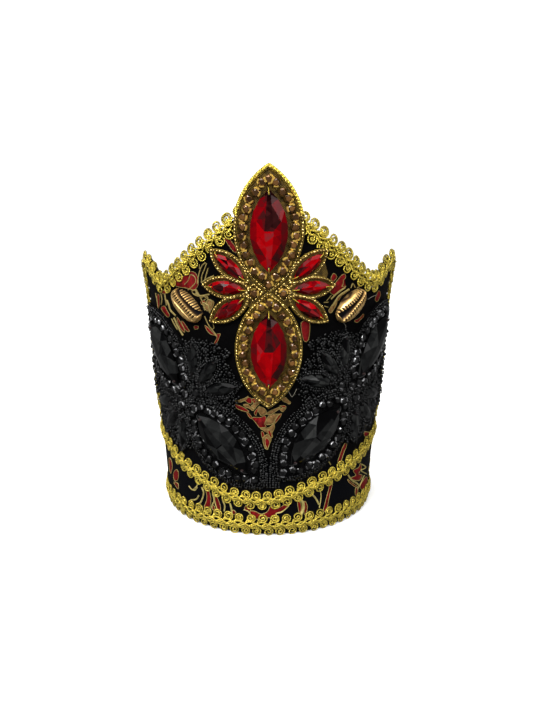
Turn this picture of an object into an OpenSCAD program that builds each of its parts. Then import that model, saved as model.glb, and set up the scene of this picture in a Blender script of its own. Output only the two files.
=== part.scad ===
// Three-point crown: a stiffened brocade wall trimmed with gold scroll braid,
// one gold and red jewelled motif at the front, a black one on each side,
// and a gold cowrie shell between the front and each side motif.
// Millimetres. Origin on the floor at the middle of the head opening, +Z up, front towards -Y.

/* [Wall] */
// Radius of the outside of the wall at the floor
wall_base_r = 70; // [60:1:85]
// Outward lean of the wall, radius gained per millimetre of height
wall_lean = 0.058; // [0.03:0.002:0.09]
// Thickness of the stiffened cloth
wall_t = 2.6; // [1.6:0.1:3]
// Angle from the front at which the tall panel stops on each side
panel_end = 84; // [82:0.5:88]
// Height of the closed band behind the panel
band_back_h = 57; // [56:0.5:60]
// How far the two corner points curl outward
corner_flare = 3; // [0:0.5:4]
// Top edge of the panel. Columns: angle from the front, height
edge_line = [[0, 208.4], [6, 201.8], [12, 195.4], [22, 185.1], [32, 174.8], [42, 164.6], [47, 160.0],
    [51, 157.3], [54, 156.4], [57, 157.8], [61, 162.2], [65, 165.9], [69, 167.6], [72, 167.2],
    [75.5, 165.0], [78.5, 161.0], [81, 155.0], [82.7, 148.0], [84, 138.0]];

/* [Braid] */
// Height of the hem braid
hem_braid_w = 15; // [12:0.5:17]
// Thickness of the hem braid
hem_braid_t = 2.6; // [1.8:0.1:3.2]
// Width of the band braid
band_braid_w = 11; // [9:0.5:12]
// Width of the braid round the points
point_braid_w = 12.4; // [10:0.2:13]
// Thickness of the braid along its raised middle
braid_crest = 2.5; // [1.8:0.1:3]
// Thickness of the braid at its scalloped edges
braid_edge = 1.4; // [1:0.1:1.7]
// Length of one scallop of the braid edge
scallop = 7; // [6:0.5:9]
// How deep the scallops cut into the braid
scallop_depth = 0.9; // [0.2:0.1:1.4]
// Middle line of the band braid. Columns: angle from the front, height
band_line = [[-180, 51.4], [-130, 51.4], [-95, 51.4], [-78, 50.8], [-66, 48.0], [-57, 44.2], [-50, 40.8],
    [-41, 36.8], [-30, 31.2], [-22, 27.2], [-15, 25.4], [-8, 24.6], [0, 24.9], [8, 26.9], [15, 29.4],
    [22, 32.2], [30, 35.0], [41, 39.3], [50, 42.6], [57, 45.2], [66, 48.4], [78, 51.0], [95, 51.4],
    [130, 51.4], [180, 51.4]];
// Middle line of the braid round one side's points. Columns: angle from the front, height
point_line = [[8, 196.5], [12, 192.4], [22, 182.1], [32, 171.8], [42, 161.6], [47, 157.2],
    [50.5, 154.7], [54, 153.9], [57.5, 155.3], [62, 159.8], [66, 163.2], [70, 164.8], [74, 164.2],
    [77.5, 161.2], [79.8, 156.2], [81.0, 149.0], [81.6, 138.0], [81.8, 110.0], [81.8, 84.0], [81.8, 58.2]];

/* [Motifs] */
// Height of the middle of the front motif
front_h = 154; // [152:0.5:156]
// Distance of the side motifs from the front, measured round the wall
side_u = 50.8; // [50.3:0.1:52]
// Height of the middle of the right motif
side_h = 90.5; // [90:0.5:92]
// How much lower the left motif is sewn than the right one
left_drop = 5; // [4.5:0.5:5.5]
// Turn of the side motifs away from upright
side_turn = 42.5; // [41:0.5:44]
// Further turn of the petals of the side motifs
petal_skew = 6; // [5:0.5:7]
// Half length of one marquise of a motif
marquise_a = 34.3; // [33:0.1:35]
// Half width of one marquise of a motif
marquise_b = 18.8; // [18:0.1:19.4]
// Thickness of the motif backing
backing_t = 1; // [0.8:0.1:1.2]
// Height of the beaded frames above the wall
frame_t = 2.4; // [1.8:0.1:3]
// Width of the beaded frames
frame_w = 1.5; // [1:0.1:1.7]
// Half length of a petal frame
petal_frame_a = 13.8; // [13.2:0.1:14.4]
// Half width of a petal frame
petal_frame_b = 6.3; // [5.8:0.1:6.5]
// Petals of one side of a motif. Columns: across, along, turn
petal_seats = [[21.8, 14.2, 39], [24.0, 2.3, 3.5], [22.4, -10.1, -33.5]];
// Small frame beside the crossing. Columns: across, along
side_loop = [[3.2, 0], [8.4, -5.2], [12.4, 0], [8.4, 5.2]];

/* [Stones] */
// Distance of the large stones from the middle of the motif
stone_seat = 33.8; // [33:0.1:34.5]
// Half length of a large stone
stone_a = 22.6; // [21:0.1:23]
// Half width of a large stone
stone_b = 10.4; // [9.5:0.1:11]
// Height of a large stone
stone_h = 5.2; // [4:0.1:6]
// Half length of a petal stone
petal_a = 10.9; // [10:0.1:11.2]
// Half width of a petal stone
petal_b = 3.9; // [3.4:0.1:4.2]
// Height of a petal stone
petal_h = 3.2; // [2.6:0.1:3.6]
// Radius of the sewing holes of the stones
hole_r = 0.6; // [0.4:0.1:0.7]
// Diameter of a rhinestone
rhinestone_d = 4.5; // [4:0.1:4.6]
// Height of a rhinestone
rhinestone_h = 2.5; // [1.8:0.1:3]
// Half length and half width of a ring of rhinestones
rhinestone_ring = [28.3, 14.3];

/* [Cowries] */
// Length of a cowrie shell
cowrie_l = 24.6; // [22:0.2:26]
// Width of a cowrie shell
cowrie_w = 13.4; // [12:0.2:14]
// Height of a cowrie shell
cowrie_h = 6.6; // [5:0.2:8]
// Distance of the cowries from the front, measured round the wall
cowrie_u = 50.6; // [50:0.2:51.4]
// Height of the middle of the cowries
cowrie_z = 144.0; // [143.4:0.2:144.6]
// Slope of the cowries
cowrie_turn = 39; // [36:1:42]

/* [Hidden] */
// Every sub-part, in the order the crown is put together
// Sub-part to draw, or all

gap = 0.12;
lean_angle = atan(wall_lean);
deg = 180 / PI;
front_place = [0, front_h, 0];
right_place = [side_u, side_h, -side_turn];
left_place = [-side_u, side_h - left_drop, side_turn];
seat_t = backing_t + gap + 0.1;

brocade_black = [0.06, 0.05, 0.06];
braid_gold = [0.86, 0.68, 0.16];
bead_gold = [0.66, 0.53, 0.22];
topaz = [0.62, 0.47, 0.26];
stone_red = [0.75, 0.02, 0.04];
jet = [0.05, 0.05, 0.055];
bead_black = [0.08, 0.08, 0.085];
shell_gold = [0.80, 0.62, 0.30];

function ramp(x) = min(max(x, 0), 1);
function wall_r(z) = wall_base_r + wall_lean * z;
function flare(a, z) = corner_flare * ramp((abs(a) - 55) / 25) * pow(ramp((z - 135) / 38), 2);
function on_wall(a, z, t) = let (r = wall_r(z) + flare(a, z) + t) [r * sin(a), -r * cos(a), z];
function quad(a, b, c, d) = [[a, b, c], [a, c, d]];

// Smooth curve through a table of points, each span cut into n steps
function pick(p, i) = p[min(max(i, 0), len(p) - 1)];
function curve_at(a, b, c, d, t) =
    0.5 * (2 * b + (c - a) * t + (2 * a - 5 * b + 4 * c - d) * t * t + (3 * b - a - 3 * c + d) * t * t * t);
function smooth(p, n) = concat(
    [for (i = [0 : len(p) - 2], k = [0 : n - 1])
        curve_at(pick(p, i - 1), p[i], p[i + 1], pick(p, i + 2), k / n)], [p[len(p) - 1]]);

// Angle and height of a line on the wall against the length run along it
function step_len(a, b) = norm([(b[0] - a[0]) / deg * wall_r(a[1]), b[1] - a[1]]);
function run_len(p, i = 0, s = 0, out = []) = i >= len(p) ? out
    : let (s2 = i == 0 ? 0 : s + step_len(p[i - 1], p[i])) run_len(p, i + 1, s2, concat(out, [s2]));
function keyed(s, p, c) = [for (i = [0 : len(p) - 1]) [s[i], p[i][c]]];

// Cloth or braid lying on the wall: grid of [angle, height, lift], inner face at one lift
module wrapped(grid, inner, closed = false) {
    ni = len(grid);
    nj = len(grid[0]);
    n = ni * nj;
    spans = closed ? ni - 1 : ni - 2;
    function id(i, j) = (i % ni) * nj + j;
    polyhedron(concat(
        [for (row = grid) for (p = row) on_wall(p[0], p[1], p[2])],
        [for (row = grid) for (p = row) on_wall(p[0], p[1], inner)]),
    concat(
        [for (i = [0 : spans], j = [0 : nj - 2])
            each quad(id(i, j), id(i, j + 1), id(i + 1, j + 1), id(i + 1, j))],
        [for (i = [0 : spans], j = [0 : nj - 2])
            each quad(id(i, j) + n, id(i + 1, j) + n, id(i + 1, j + 1) + n, id(i, j + 1) + n)],
        [for (i = [0 : spans]) each quad(id(i, 0), id(i + 1, 0), id(i + 1, 0) + n, id(i, 0) + n)],
        [for (i = [0 : spans])
            each quad(id(i + 1, nj - 1), id(i, nj - 1), id(i, nj - 1) + n, id(i + 1, nj - 1) + n)],
        closed ? [] : [for (j = [0 : nj - 2]) each quad(id(0, j + 1), id(0, j), id(0, j) + n, id(0, j + 1) + n)],
        closed ? [] : [for (j = [0 : nj - 2]) each quad(id(ni - 1, j), id(ni - 1, j + 1),
            id(ni - 1, j + 1) + n, id(ni - 1, j) + n)]),
    convexity = 12);
}

// One station across a braid: edge, crest, edge, square to the run of the braid
function across_braid(p, dir, half) =
    let (n = [-dir[1], dir[0]] / norm(dir), r = wall_r(p[1]))
    [for (c = [[-1, braid_edge], [0, braid_crest], [1, braid_edge]])
        [p[0] + n[0] * c[0] * half / r * deg, p[1] + n[1] * c[0] * half, c[1]]];

// Solid from rings of points stacked upward, each ring running the same way round
module stacked(rings) {
    n = len(rings[0]);
    m = len(rings);
    polyhedron([for (r = rings) for (p = r) p],
    concat([[for (i = [0 : n - 1]) i]], [[for (i = [n - 1 : -1 : 0]) (m - 1) * n + i]],
        [for (k = [0 : m - 2], i = [0 : n - 1])
            each quad(k * n + i, (k + 1) * n + i, (k + 1) * n + (i + 1) % n, k * n + (i + 1) % n)]),
    convexity = 4);
}

// Pointed oval of half length a and half width b, n points to a side
function oval_r(a, b) = (a * a + b * b) / (2 * b);
function oval(a, b, n) = let (r = oval_r(a, b), f = asin(a / r)) concat(
    [for (i = [0 : n - 1]) let (t = -f + 2 * f * i / n) [r * cos(t) - r + b, r * sin(t)]],
    [for (i = [0 : n - 1]) let (t = f - 2 * f * i / n) [-r * cos(t) + r - b, r * sin(t)]]);
// The same oval drawn in by w all round
function oval_in(a, b, w, n) = let (r = oval_r(a, b)) oval(sqrt(pow(r - w, 2) - pow(r - b, 2)), b - w, n);

function turned(p, a) = [p[0] * cos(a) - p[1] * sin(a), p[0] * sin(a) + p[1] * cos(a)];
function moved(pts, to, a) = [for (p = pts) turned(p, a) + to];

// Puts a piece on the wall at a place of a motif, its back at the given lift
module seated(place, across, along, turn, lift) {
    at = turned([across, along], place[2]) + [place[0], place[1]];
    r = wall_r(at[1]);
    rotate([0, 0, at[0] / r * deg]) translate([0, -(r + lift), at[1]])
        rotate([90 + lean_angle, 0, 0]) rotate([0, 0, place[2] + turn]) children();
}

// A drawing of the motif as seen square on from its place, so that it lands true on the frames
module drawn(place, pts)
    polygon([for (p = pts) let (q = turned(p, place[2]), z = q[1] + place[1], r = wall_r(z),
        rc = wall_r(place[1])) [(r + 1.7) * sin((q[0] + place[0]) / r * deg - place[0] / rc * deg), z]]);

// A slice of the space just outside the wall, between two lifts, cut to a drawing
module laid(place, t0, t1) {
    mid = place[0] / wall_r(place[1]) * deg;
    intersection() {
        wrapped([for (a = [-44 : 4 : 44]) [for (z = [20, 135, 142, 230]) [mid + a, z, t1]]], t0);
        rotate([0, 0, mid]) rotate([90, 0, 0]) linear_extrude(120) children();
    }
}

function petal_pts(s, k, w) = let (c = petal_seats[k])
    moved(oval_in(petal_frame_a, petal_frame_b, w, 7), [s * c[0], c[1]], s * (c[2] - 90));
function loop_pts(s, f) = [for (p = side_loop) [s * (7.8 + (p[0] - 7.8) * f), p[1] * f]];
function marquise_pts(s, w) = moved(oval_in(marquise_a, marquise_b, w, 12), [0, s * marquise_a], 0);

module marquises(place, w) for (s = [-1, 1]) drawn(place, marquise_pts(s, w));
function skew(place) = sign(place[2]) * petal_skew;
module petals(place, w) for (s = [-1, 1], k = [0 : 2]) drawn(place, moved(petal_pts(s, k, w), [0, 0], skew(place)));

module backing(place) {
    laid(place, gap, gap + backing_t) union() {
        marquises(place, -0.4);
        petals(place, -0.2);
        for (s = [-1, 1]) drawn(place, loop_pts(s, 1.05));
    }
    laid(place, 0.6, frame_t) union() {
        difference() {
            marquises(place, -0.2);
            marquises(place, frame_w);
        }
        difference() {
            petals(place, 0);
            petals(place, frame_w * 0.8);
            marquises(place, 0.4);
            for (s = [-1, 1]) drawn(place, loop_pts(s, 0.9));
        }
        difference() {
            for (s = [-1, 1]) drawn(place, loop_pts(s, 1));
            for (s = [-1, 1]) drawn(place, loop_pts(s, 0.72));
            marquises(place, 0.4);
        }
    }
}

// Cut navette stone: flat back, low girdle, two rows of facets and a table, sewing hole at each end
module navette(a, b, h) {
    pts = oval(a, b, 5);
    difference() {
        stacked([for (c = [[0.97, 0], [1, 0.26], [0.74, 0.74], [0.4, 1]])
            [for (p = pts) [p[0] * c[0], p[1] * (c[0] * 0.75 + 0.25 * (c[1] < 0.3 ? c[0] : 1)), h * c[1]]]]);
        for (s = [-1, 1]) translate([0, s * (a - hole_r * 4.6), -1]) cylinder(h = h + 2, r = hole_r, $fn = 8);
    }
}

module large_stone(place, s) seated(place, 0, s * stone_seat, 0, seat_t) navette(stone_a, stone_b, stone_h);
module petal_stone(place, s, k) let (c = petal_seats[k], at = turned([s * c[0], c[1]], skew(place)))
    seated(place, at[0], at[1], s * (c[2] - 90) + skew(place), seat_t) navette(petal_a, petal_b, petal_h);

// One claw-set rhinestone: eight facets and a table
module rhinestone() cylinder(h = rhinestone_h, d1 = rhinestone_d, d2 = rhinestone_d * 0.55, $fn = 8);

module rhinestones(place) {
    pts = oval(rhinestone_ring[0], rhinestone_ring[1], 13);
    for (s = [-1, 1]) {
        for (p = pts) seated(place, p[0], p[1] + s * stone_seat, 0, seat_t) rhinestone();
        seated(place, s * 7.8, 0, 0, seat_t) rhinestone();
    }
}

// Cowrie with its slit outward. Columns: along, half width, height, both as shares
cowrie_form = [[-0.5, 0.30, 0.42], [-0.44, 0.58, 0.66], [-0.32, 0.84, 0.86], [-0.16, 0.98, 0.97],
    [0.02, 1, 1], [0.2, 0.9, 0.96], [0.34, 0.7, 0.82], [0.44, 0.46, 0.62], [0.5, 0.24, 0.4]];
module cowrie(s) {
    arc = [[-1, 0], [-0.98, 0.3], [-0.86, 0.62], [-0.6, 0.88], [-0.22, 1], [0.22, 1], [0.6, 0.88], [0.86, 0.62],
        [0.98, 0.3], [1, 0]];
    seated([s * cowrie_u, cowrie_z, 0], 0, 0, -s * (90 - cowrie_turn), gap + 0.3) difference() {
        rotate([-90, 0, 0]) stacked([for (c = cowrie_form)
            [for (p = arc) [p[0] * c[1] * cowrie_w / 2, -p[1] * c[2] * cowrie_h, c[0] * cowrie_l]]]);
        translate([0, 0, cowrie_h * 0.6]) linear_extrude(cowrie_h)
            polygon([for (t = [-0.45 : 0.15 : 0.45]) [s * (0.6 - 6 * t * t) - 0.7, t * cowrie_l],
                for (t = [0.45 : -0.15 : -0.45]) [s * (0.6 - 6 * t * t) + 0.7, t * cowrie_l]]);
    }
}

module crown_wall() color(brocade_black) {
    edge = smooth(edge_line, 2);
    panel = concat([for (i = [len(edge) - 1 : -1 : 1]) [-edge[i][0], edge[i][1]]], edge);
    back = [for (a = [panel_end + 0.3, for (k = [1 : 16]) panel_end + k * (360 - 2 * panel_end) / 17,
        360 - panel_end - 0.3]) [a, band_back_h]];
    rows = [0, 0.8, 0.87, 0.94, 1];
    wrapped([for (c = concat(panel, back)) [for (f = rows) [c[0], 0.8 + (c[1] - 0.8) * f, 0]]],
        -wall_t, closed = true);
}

module hem_braid() color(braid_gold) rotate_extrude($fn = 120)
    polygon([for (c = [[0, gap], [0, 0.62], [0.18, 0.9], [0.36, 1], [0.5, 0.84], [0.64, 1], [0.82, 0.9], [1, 0.62],
        [1, gap / hem_braid_t]]) [wall_r(c[0] * hem_braid_w) + max(gap, c[1] * hem_braid_t), c[0] * hem_braid_w]]);

// Even stations along a line on the wall, two to a scallop
function stations(line, closed) = let (s = run_len(line), n = round(s[len(s) - 1] / scallop) * 2,
    angles = keyed(s, line, 0), heights = keyed(s, line, 1))
    [for (i = [0 : closed ? n - 1 : n]) let (q = i * s[len(s) - 1] / n) [lookup(q, angles), lookup(q, heights)]];
module braid(line, width, closed) {
    p = stations(line, closed);
    m = len(p);
    function before(i) = i > 0 ? p[i - 1] : closed ? p[m - 1] - [360, 0] : p[0];
    function after(i) = i < m - 1 ? p[i + 1] : closed ? p[0] + [360, 0] : p[m - 1];
    wrapped([for (i = [0 : m - 1]) let (d = after(i) - before(i))
        across_braid(p[i], [d[0] / deg * wall_r(p[i][1]), d[1]], width / 2 - (i % 2 == 0 ? scallop_depth : 0))],
        gap + 0.1, closed);
}

module band_braid() color(braid_gold) braid(smooth(band_line, 4), band_braid_w, true);
// The room that the front motif takes up: the braids and side motifs stop against it
module front_room() laid(front_place, -0.5, 4) {
    marquises(front_place, -0.7);
    petals(front_place, -0.5);
}
module side_braid() difference() {
    braid(smooth(point_line, 3), point_braid_w, false);
    front_room();
}
module side_backing(place) difference() {
    backing(place);
    front_room();
}
module left_point_braid() color(braid_gold) mirror([1, 0, 0]) side_braid();
module right_point_braid() color(braid_gold) side_braid();

module front_backing() color(bead_gold) backing(front_place);
module front_rhinestones() color(topaz) rhinestones(front_place);
module front_upper_stone() color(stone_red) large_stone(front_place, 1);
module front_lower_stone() color(stone_red) large_stone(front_place, -1);
module front_petal_left_top() color(stone_red) petal_stone(front_place, -1, 0);
module front_petal_left_middle() color(stone_red) petal_stone(front_place, -1, 1);
module front_petal_left_low() color(stone_red) petal_stone(front_place, -1, 2);
module front_petal_right_top() color(stone_red) petal_stone(front_place, 1, 0);
module front_petal_right_middle() color(stone_red) petal_stone(front_place, 1, 1);
module front_petal_right_low() color(stone_red) petal_stone(front_place, 1, 2);

module left_backing() color(bead_black) side_backing(left_place);
module left_rhinestones() color(jet) rhinestones(left_place);
module left_upper_stone() color(jet) large_stone(left_place, 1);
module left_lower_stone() color(jet) large_stone(left_place, -1);
module left_petal_inner_top() color(jet) petal_stone(left_place, 1, 0);
module left_petal_inner_middle() color(jet) petal_stone(left_place, 1, 1);
module left_petal_inner_low() color(jet) petal_stone(left_place, 1, 2);
module left_petal_outer_top() color(jet) petal_stone(left_place, -1, 0);
module left_petal_outer_middle() color(jet) petal_stone(left_place, -1, 1);
module left_petal_outer_low() color(jet) petal_stone(left_place, -1, 2);

module right_backing() color(bead_black) side_backing(right_place);
module right_rhinestones() color(jet) rhinestones(right_place);
module right_upper_stone() color(jet) large_stone(right_place, 1);
module right_lower_stone() color(jet) large_stone(right_place, -1);
module right_petal_inner_top() color(jet) petal_stone(right_place, -1, 0);
module right_petal_inner_middle() color(jet) petal_stone(right_place, -1, 1);
module right_petal_inner_low() color(jet) petal_stone(right_place, -1, 2);
module right_petal_outer_top() color(jet) petal_stone(right_place, 1, 0);
module right_petal_outer_middle() color(jet) petal_stone(right_place, 1, 1);
module right_petal_outer_low() color(jet) petal_stone(right_place, 1, 2);

module left_cowrie() color(shell_gold) cowrie(-1);
module right_cowrie() color(shell_gold) cowrie(1);

crown_wall();
hem_braid();
band_braid();
left_point_braid();
right_point_braid();
front_backing();
front_rhinestones();
front_upper_stone();
front_lower_stone();
front_petal_left_top();
front_petal_left_middle();
front_petal_left_low();
front_petal_right_top();
front_petal_right_middle();
front_petal_right_low();
left_backing();
left_rhinestones();
left_upper_stone();
left_lower_stone();
left_petal_inner_top();
left_petal_inner_middle();
left_petal_inner_low();
left_petal_outer_top();
left_petal_outer_middle();
left_petal_outer_low();
right_backing();
right_rhinestones();
right_upper_stone();
right_lower_stone();
right_petal_inner_top();
right_petal_inner_middle();
right_petal_inner_low();
right_petal_outer_top();
right_petal_outer_middle();
right_petal_outer_low();
left_cowrie();
right_cowrie();
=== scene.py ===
import math

import bmesh
import bpy
import numpy as np
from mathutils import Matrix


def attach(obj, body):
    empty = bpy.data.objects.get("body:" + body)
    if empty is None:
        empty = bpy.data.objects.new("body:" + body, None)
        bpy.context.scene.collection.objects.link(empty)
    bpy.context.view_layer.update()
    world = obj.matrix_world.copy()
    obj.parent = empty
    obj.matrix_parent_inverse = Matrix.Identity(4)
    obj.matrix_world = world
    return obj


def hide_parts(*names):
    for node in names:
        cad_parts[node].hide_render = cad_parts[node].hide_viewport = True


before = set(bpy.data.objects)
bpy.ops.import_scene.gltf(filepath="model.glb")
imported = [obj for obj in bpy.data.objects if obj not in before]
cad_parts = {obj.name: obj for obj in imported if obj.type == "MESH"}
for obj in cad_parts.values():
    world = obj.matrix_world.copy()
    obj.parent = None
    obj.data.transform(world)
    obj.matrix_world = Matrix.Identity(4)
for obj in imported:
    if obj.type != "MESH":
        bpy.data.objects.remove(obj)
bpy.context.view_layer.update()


# Crown wall
# The body of the crown: black satin brocade drawn tight over stiff interlining 2.6 mm thick,
# tall in front and closed behind by a low band. The cloth is turned over the edges and glued.

MM = 0.001
BASE_R, LEAN = 70.0, 0.058  # outside radius at the floor, and radius gained per mm of height
WALL_T, PANEL_END, BACK_H = 2.6, 84, 57.0  # thickness, angle of the panel's back edges, height behind
EDGE = [(0, 208.4), (6, 201.8), (12, 195.4), (22, 185.1), (32, 174.8), (42, 164.6), (47, 160), (51, 157.3),
        (54, 156.4), (57, 157.8), (61, 162.2), (65, 165.9), (69, 167.6), (72, 167.2), (75.5, 165),
        (78.5, 161), (81, 155), (82.7, 148), (84, 138)]  # angle from the front, height of the top edge
# The side points curl out by up to 3 mm, from an angle and a height on, growing over a stretch of each.
CURL, CURL_ANGLE, CURL_HEIGHT = 3, (55, 25), (135, 38)
RIB, CREASE = 0.42, 1.1  # mm from rib to rib of the satin, and from crease to crease up the wall
SATIN_BLACK, BLUE_BLACK, WORN_BLACK = (0.0010, 0.0009, 0.0010), (0.0026, 0.003, 0.005), (0.004, 0.0037, 0.004)
PLAIN_BLACK, PLAIN_GREY = (0.007, 0.0068, 0.007), (0.024, 0.023, 0.024)


def wall_r(z):
    """Outside radius of the wall at a height."""
    return BASE_R + LEAN * np.asarray(z, float)


def on_wall(u, z, lift=0.0):
    """Points on the wall: u measured round it from the front, z up, lift outward, all in mm."""
    r = wall_r(z)
    a = np.asarray(u, float) / r
    round_share = np.clip((abs(a) * 180 / math.pi - CURL_ANGLE[0]) / CURL_ANGLE[1], 0, 1)
    high_share = np.clip((z - CURL_HEIGHT[0]) / CURL_HEIGHT[1], 0, 1)
    r = r + CURL * round_share * high_share ** 2 + lift
    return np.stack([r * np.sin(a), -r * np.cos(a), z + 0 * r], -1)


def flowing(points, n, closed=False):
    """Smooth curve through points, each span cut into n steps."""
    p = np.asarray(points, float)
    p = np.vstack([p[-1:], p, p[:2]] if closed else [p[:1], p, p[-1:]])
    t = np.arange(n)[:, None] / n
    spans = []
    for a, b, c, d in zip(p, p[1:], p[2:], p[3:]):
        bend, twist = 2 * a - 5 * b + 4 * c - d, 3 * b - a - 3 * c + d
        spans.append(0.5 * (2 * b + (c - a) * t + bend * t ** 2 + twist * t ** 3))
    return np.vstack(spans if closed else spans + [p[-1:]])


def strips(rows, closed=True):
    """Four-cornered faces between rows of point numbers, each row closed to a ring or left open."""
    rows = np.hstack([rows, rows[:, :1]]) if closed else rows
    corners = (rows[:-1, :-1], rows[:-1, 1:], rows[1:, 1:], rows[1:, :-1])
    return np.stack([corner.ravel() for corner in corners], 1).tolist()


def placed(name, data):
    """A new object of the scene."""
    made = bpy.data.objects.new(name, data)
    bpy.context.scene.collection.objects.link(made)
    return made


class Dye:
    """A shader socket that can be reckoned with like a number."""

    def __init__(self, tree, socket=None):
        self.tree, self.socket = tree, socket

    def node(self, kind, settings=None, sockets=None, out=0):
        """Any shader node: its settings come first, then the values or links of its sockets."""
        made = self.tree.nodes.new("ShaderNode" + kind)
        for key, value in (settings or {}).items():
            if key == "stops":
                for k, (at, colour) in enumerate(value):
                    stop = made.color_ramp.elements[k] if k < 2 else made.color_ramp.elements.new(at)
                    stop.position, stop.color = at, (*colour, 1)
            else:
                setattr(made, key, value)
        for key, value in (sockets or {}).items():
            if isinstance(value, Dye):
                self.tree.links.new(value.socket, made.inputs[key])
            elif isinstance(value, tuple) and made.inputs[key].type == "RGBA":
                made.inputs[key].default_value = (*value, 1)
            else:
                made.inputs[key].default_value = value
        return Dye(self.tree, made.outputs[out])

    def reckon(self, operation, *values):
        """One Math node."""
        return self.node("Math", {"operation": operation}, dict(enumerate(values)))

    def __add__(self, other):
        return self.reckon("ADD", self, other)

    def __sub__(self, other):
        return self.reckon("SUBTRACT", self, other)

    def __rsub__(self, other):
        return self.reckon("SUBTRACT", other, self)

    def __mul__(self, other):
        return self.reckon("MULTIPLY", self, other)

    def __truediv__(self, other):
        return self.reckon("DIVIDE", self, other)

    def __pow__(self, other):
        return self.reckon("POWER", self, other)

    __radd__, __rmul__ = __add__, __mul__

    def wave(self):
        """A wave between 0 and 1, one for each whole number."""
        return self.reckon("SINE", self * (2 * math.pi)) * 0.5 + 0.5

    def over(self, edge, soft):
        """0 below the edge and 1 above it, with a soft passage on both sides."""
        ends = {"Value": self, "From Min": edge - soft, "From Max": edge + soft}
        return self.node("MapRange", {"clamp": True}, ends)

    def between(self, first, second):
        """The colour that lies this share of the way from the first to the second."""
        return self.node("Mix", {"data_type": "RGBA"}, {0: self, 6: first, 7: second}, 2)

    def place(self):
        return self.node("TexCoord", out="Object")

    def apart(self, vector):
        """The three numbers of a vector."""
        made = self.node("SeparateXYZ", None, {0: vector})
        return [Dye(self.tree, part) for part in made.socket.node.outputs]

    def speckle(self, size, detail=2.0):
        """Noise with grains of about this size in mm, between 0 and 1."""
        grain = {"Vector": self.place(), "Scale": 1 / (size * MM), "Detail": detail}
        return self.node("TexNoise", None, grain)

    def round_wall(self):
        """Distance round the wall and height, in mm."""
        x, y, z = self.apart(self.place())
        return self.reckon("ARCTAN2", x, 0 - y) * (z * LEAN + BASE_R * MM) * 1000, z * 1000

    def lift(self):
        """Height over the wall, in mm."""
        x, y, z = self.apart(self.place())
        return ((x * x + y * y) ** 0.5 - z * LEAN) * 1000 - BASE_R

    def marks(self):
        """The two numbers that a piece carries at each corner of its faces."""
        return self.apart(self.node("UVMap", {"uv_map": "marks"}))[:2]


def finish(name, **fixed):
    """A new finish with the values that are alike all over it, its colours to be worked out with Dye."""
    made = bpy.data.materials.new(name)
    made.use_nodes = True
    shader = made.node_tree.nodes["Principled BSDF"]
    for key, value in fixed.items():
        shader.inputs[key.replace("_", " ")].default_value = value
    return made, Dye(made.node_tree)


def apply(made, colour=None, roughness=None, height=None, depth=0.1, metal=None):
    """Leads the worked-out colour, roughness and relief, depth in mm, into a finish."""
    tree = made.node_tree
    shader = tree.nodes["Principled BSDF"]
    for key, value in (("Base Color", colour), ("Roughness", roughness), ("Metallic", metal)):
        if value is not None:
            tree.links.new(value.socket, shader.inputs[key])
    if height is not None:
        relief = height.node("Bump", None, {"Height": height, "Strength": 1.0, "Distance": depth * MM})
        tree.links.new(relief.socket, shader.inputs["Normal"])
    return made


class Work:
    """Points, faces and face-corner marks gathered for one piece, in mm."""

    def __init__(self):
        self.points, self.faces, self.marks, self.count = [], [], [], 0

    def add(self, points, faces, marks=None):
        points = np.asarray(points, float).reshape(-1, 3)
        self.points.append(points)
        self.faces += [[i + self.count for i in face] for face in faces]
        self.marks += [(0.5, 0.5)] * sum(map(len, faces)) if marks is None else list(marks)
        self.count += len(points)

    def piece(self, name, finishes, slot, *nodes, smooth=True):
        """Makes the piece, hangs it on the crown and lets it stand for the solids it replaces."""
        mesh = bpy.data.meshes.new(name)
        mesh.from_pydata((np.vstack(self.points) * MM).tolist(), [], self.faces)
        layer = mesh.uv_layers.new(name="marks")
        layer.uv.foreach_set("vector", np.asarray(self.marks, np.float32).ravel())
        mesh.polygons.foreach_set("use_smooth", [smooth] * len(mesh.polygons))
        for coat in finishes if isinstance(finishes, list) else [finishes]:
            mesh.materials.append(coat)
        made = placed(name, mesh)
        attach(made, "root")
        if nodes:
            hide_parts(*nodes)
        return made


def black_satin():
    """Ribbed satin with slubs and fine creases, bluer on the low band."""
    made, dye = finish("black_satin", Specular_IOR_Level=0.03)
    u, z = dye.round_wall()
    rib = (u / RIB).wave()
    slub = dye.speckle(9, 3)
    low = 1 - z.over(48, 6)
    colour = (low * 0.8).between(SATIN_BLACK, BLUE_BLACK)
    colour = ((u / RIB + z / CREASE).wave() * slub).between(colour, WORN_BLACK)
    return apply(made, colour, slub * 0.2 + 0.42 + rib * 0.1, rib * 0.5 + slub * 0.8, 0.08)


def plain_cloth():
    """Dull twill of the inside and of the turned edges."""
    made, dye = finish("plain_black_cloth", Specular_IOR_Level=0.08)
    u, z = dye.round_wall()
    twill = ((u + z) / 0.7).wave()
    colour = (twill * dye.speckle(12)).between(PLAIN_BLACK, PLAIN_GREY)
    return apply(made, colour, twill * 0.1 + 0.7, twill, 0.08)


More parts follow.
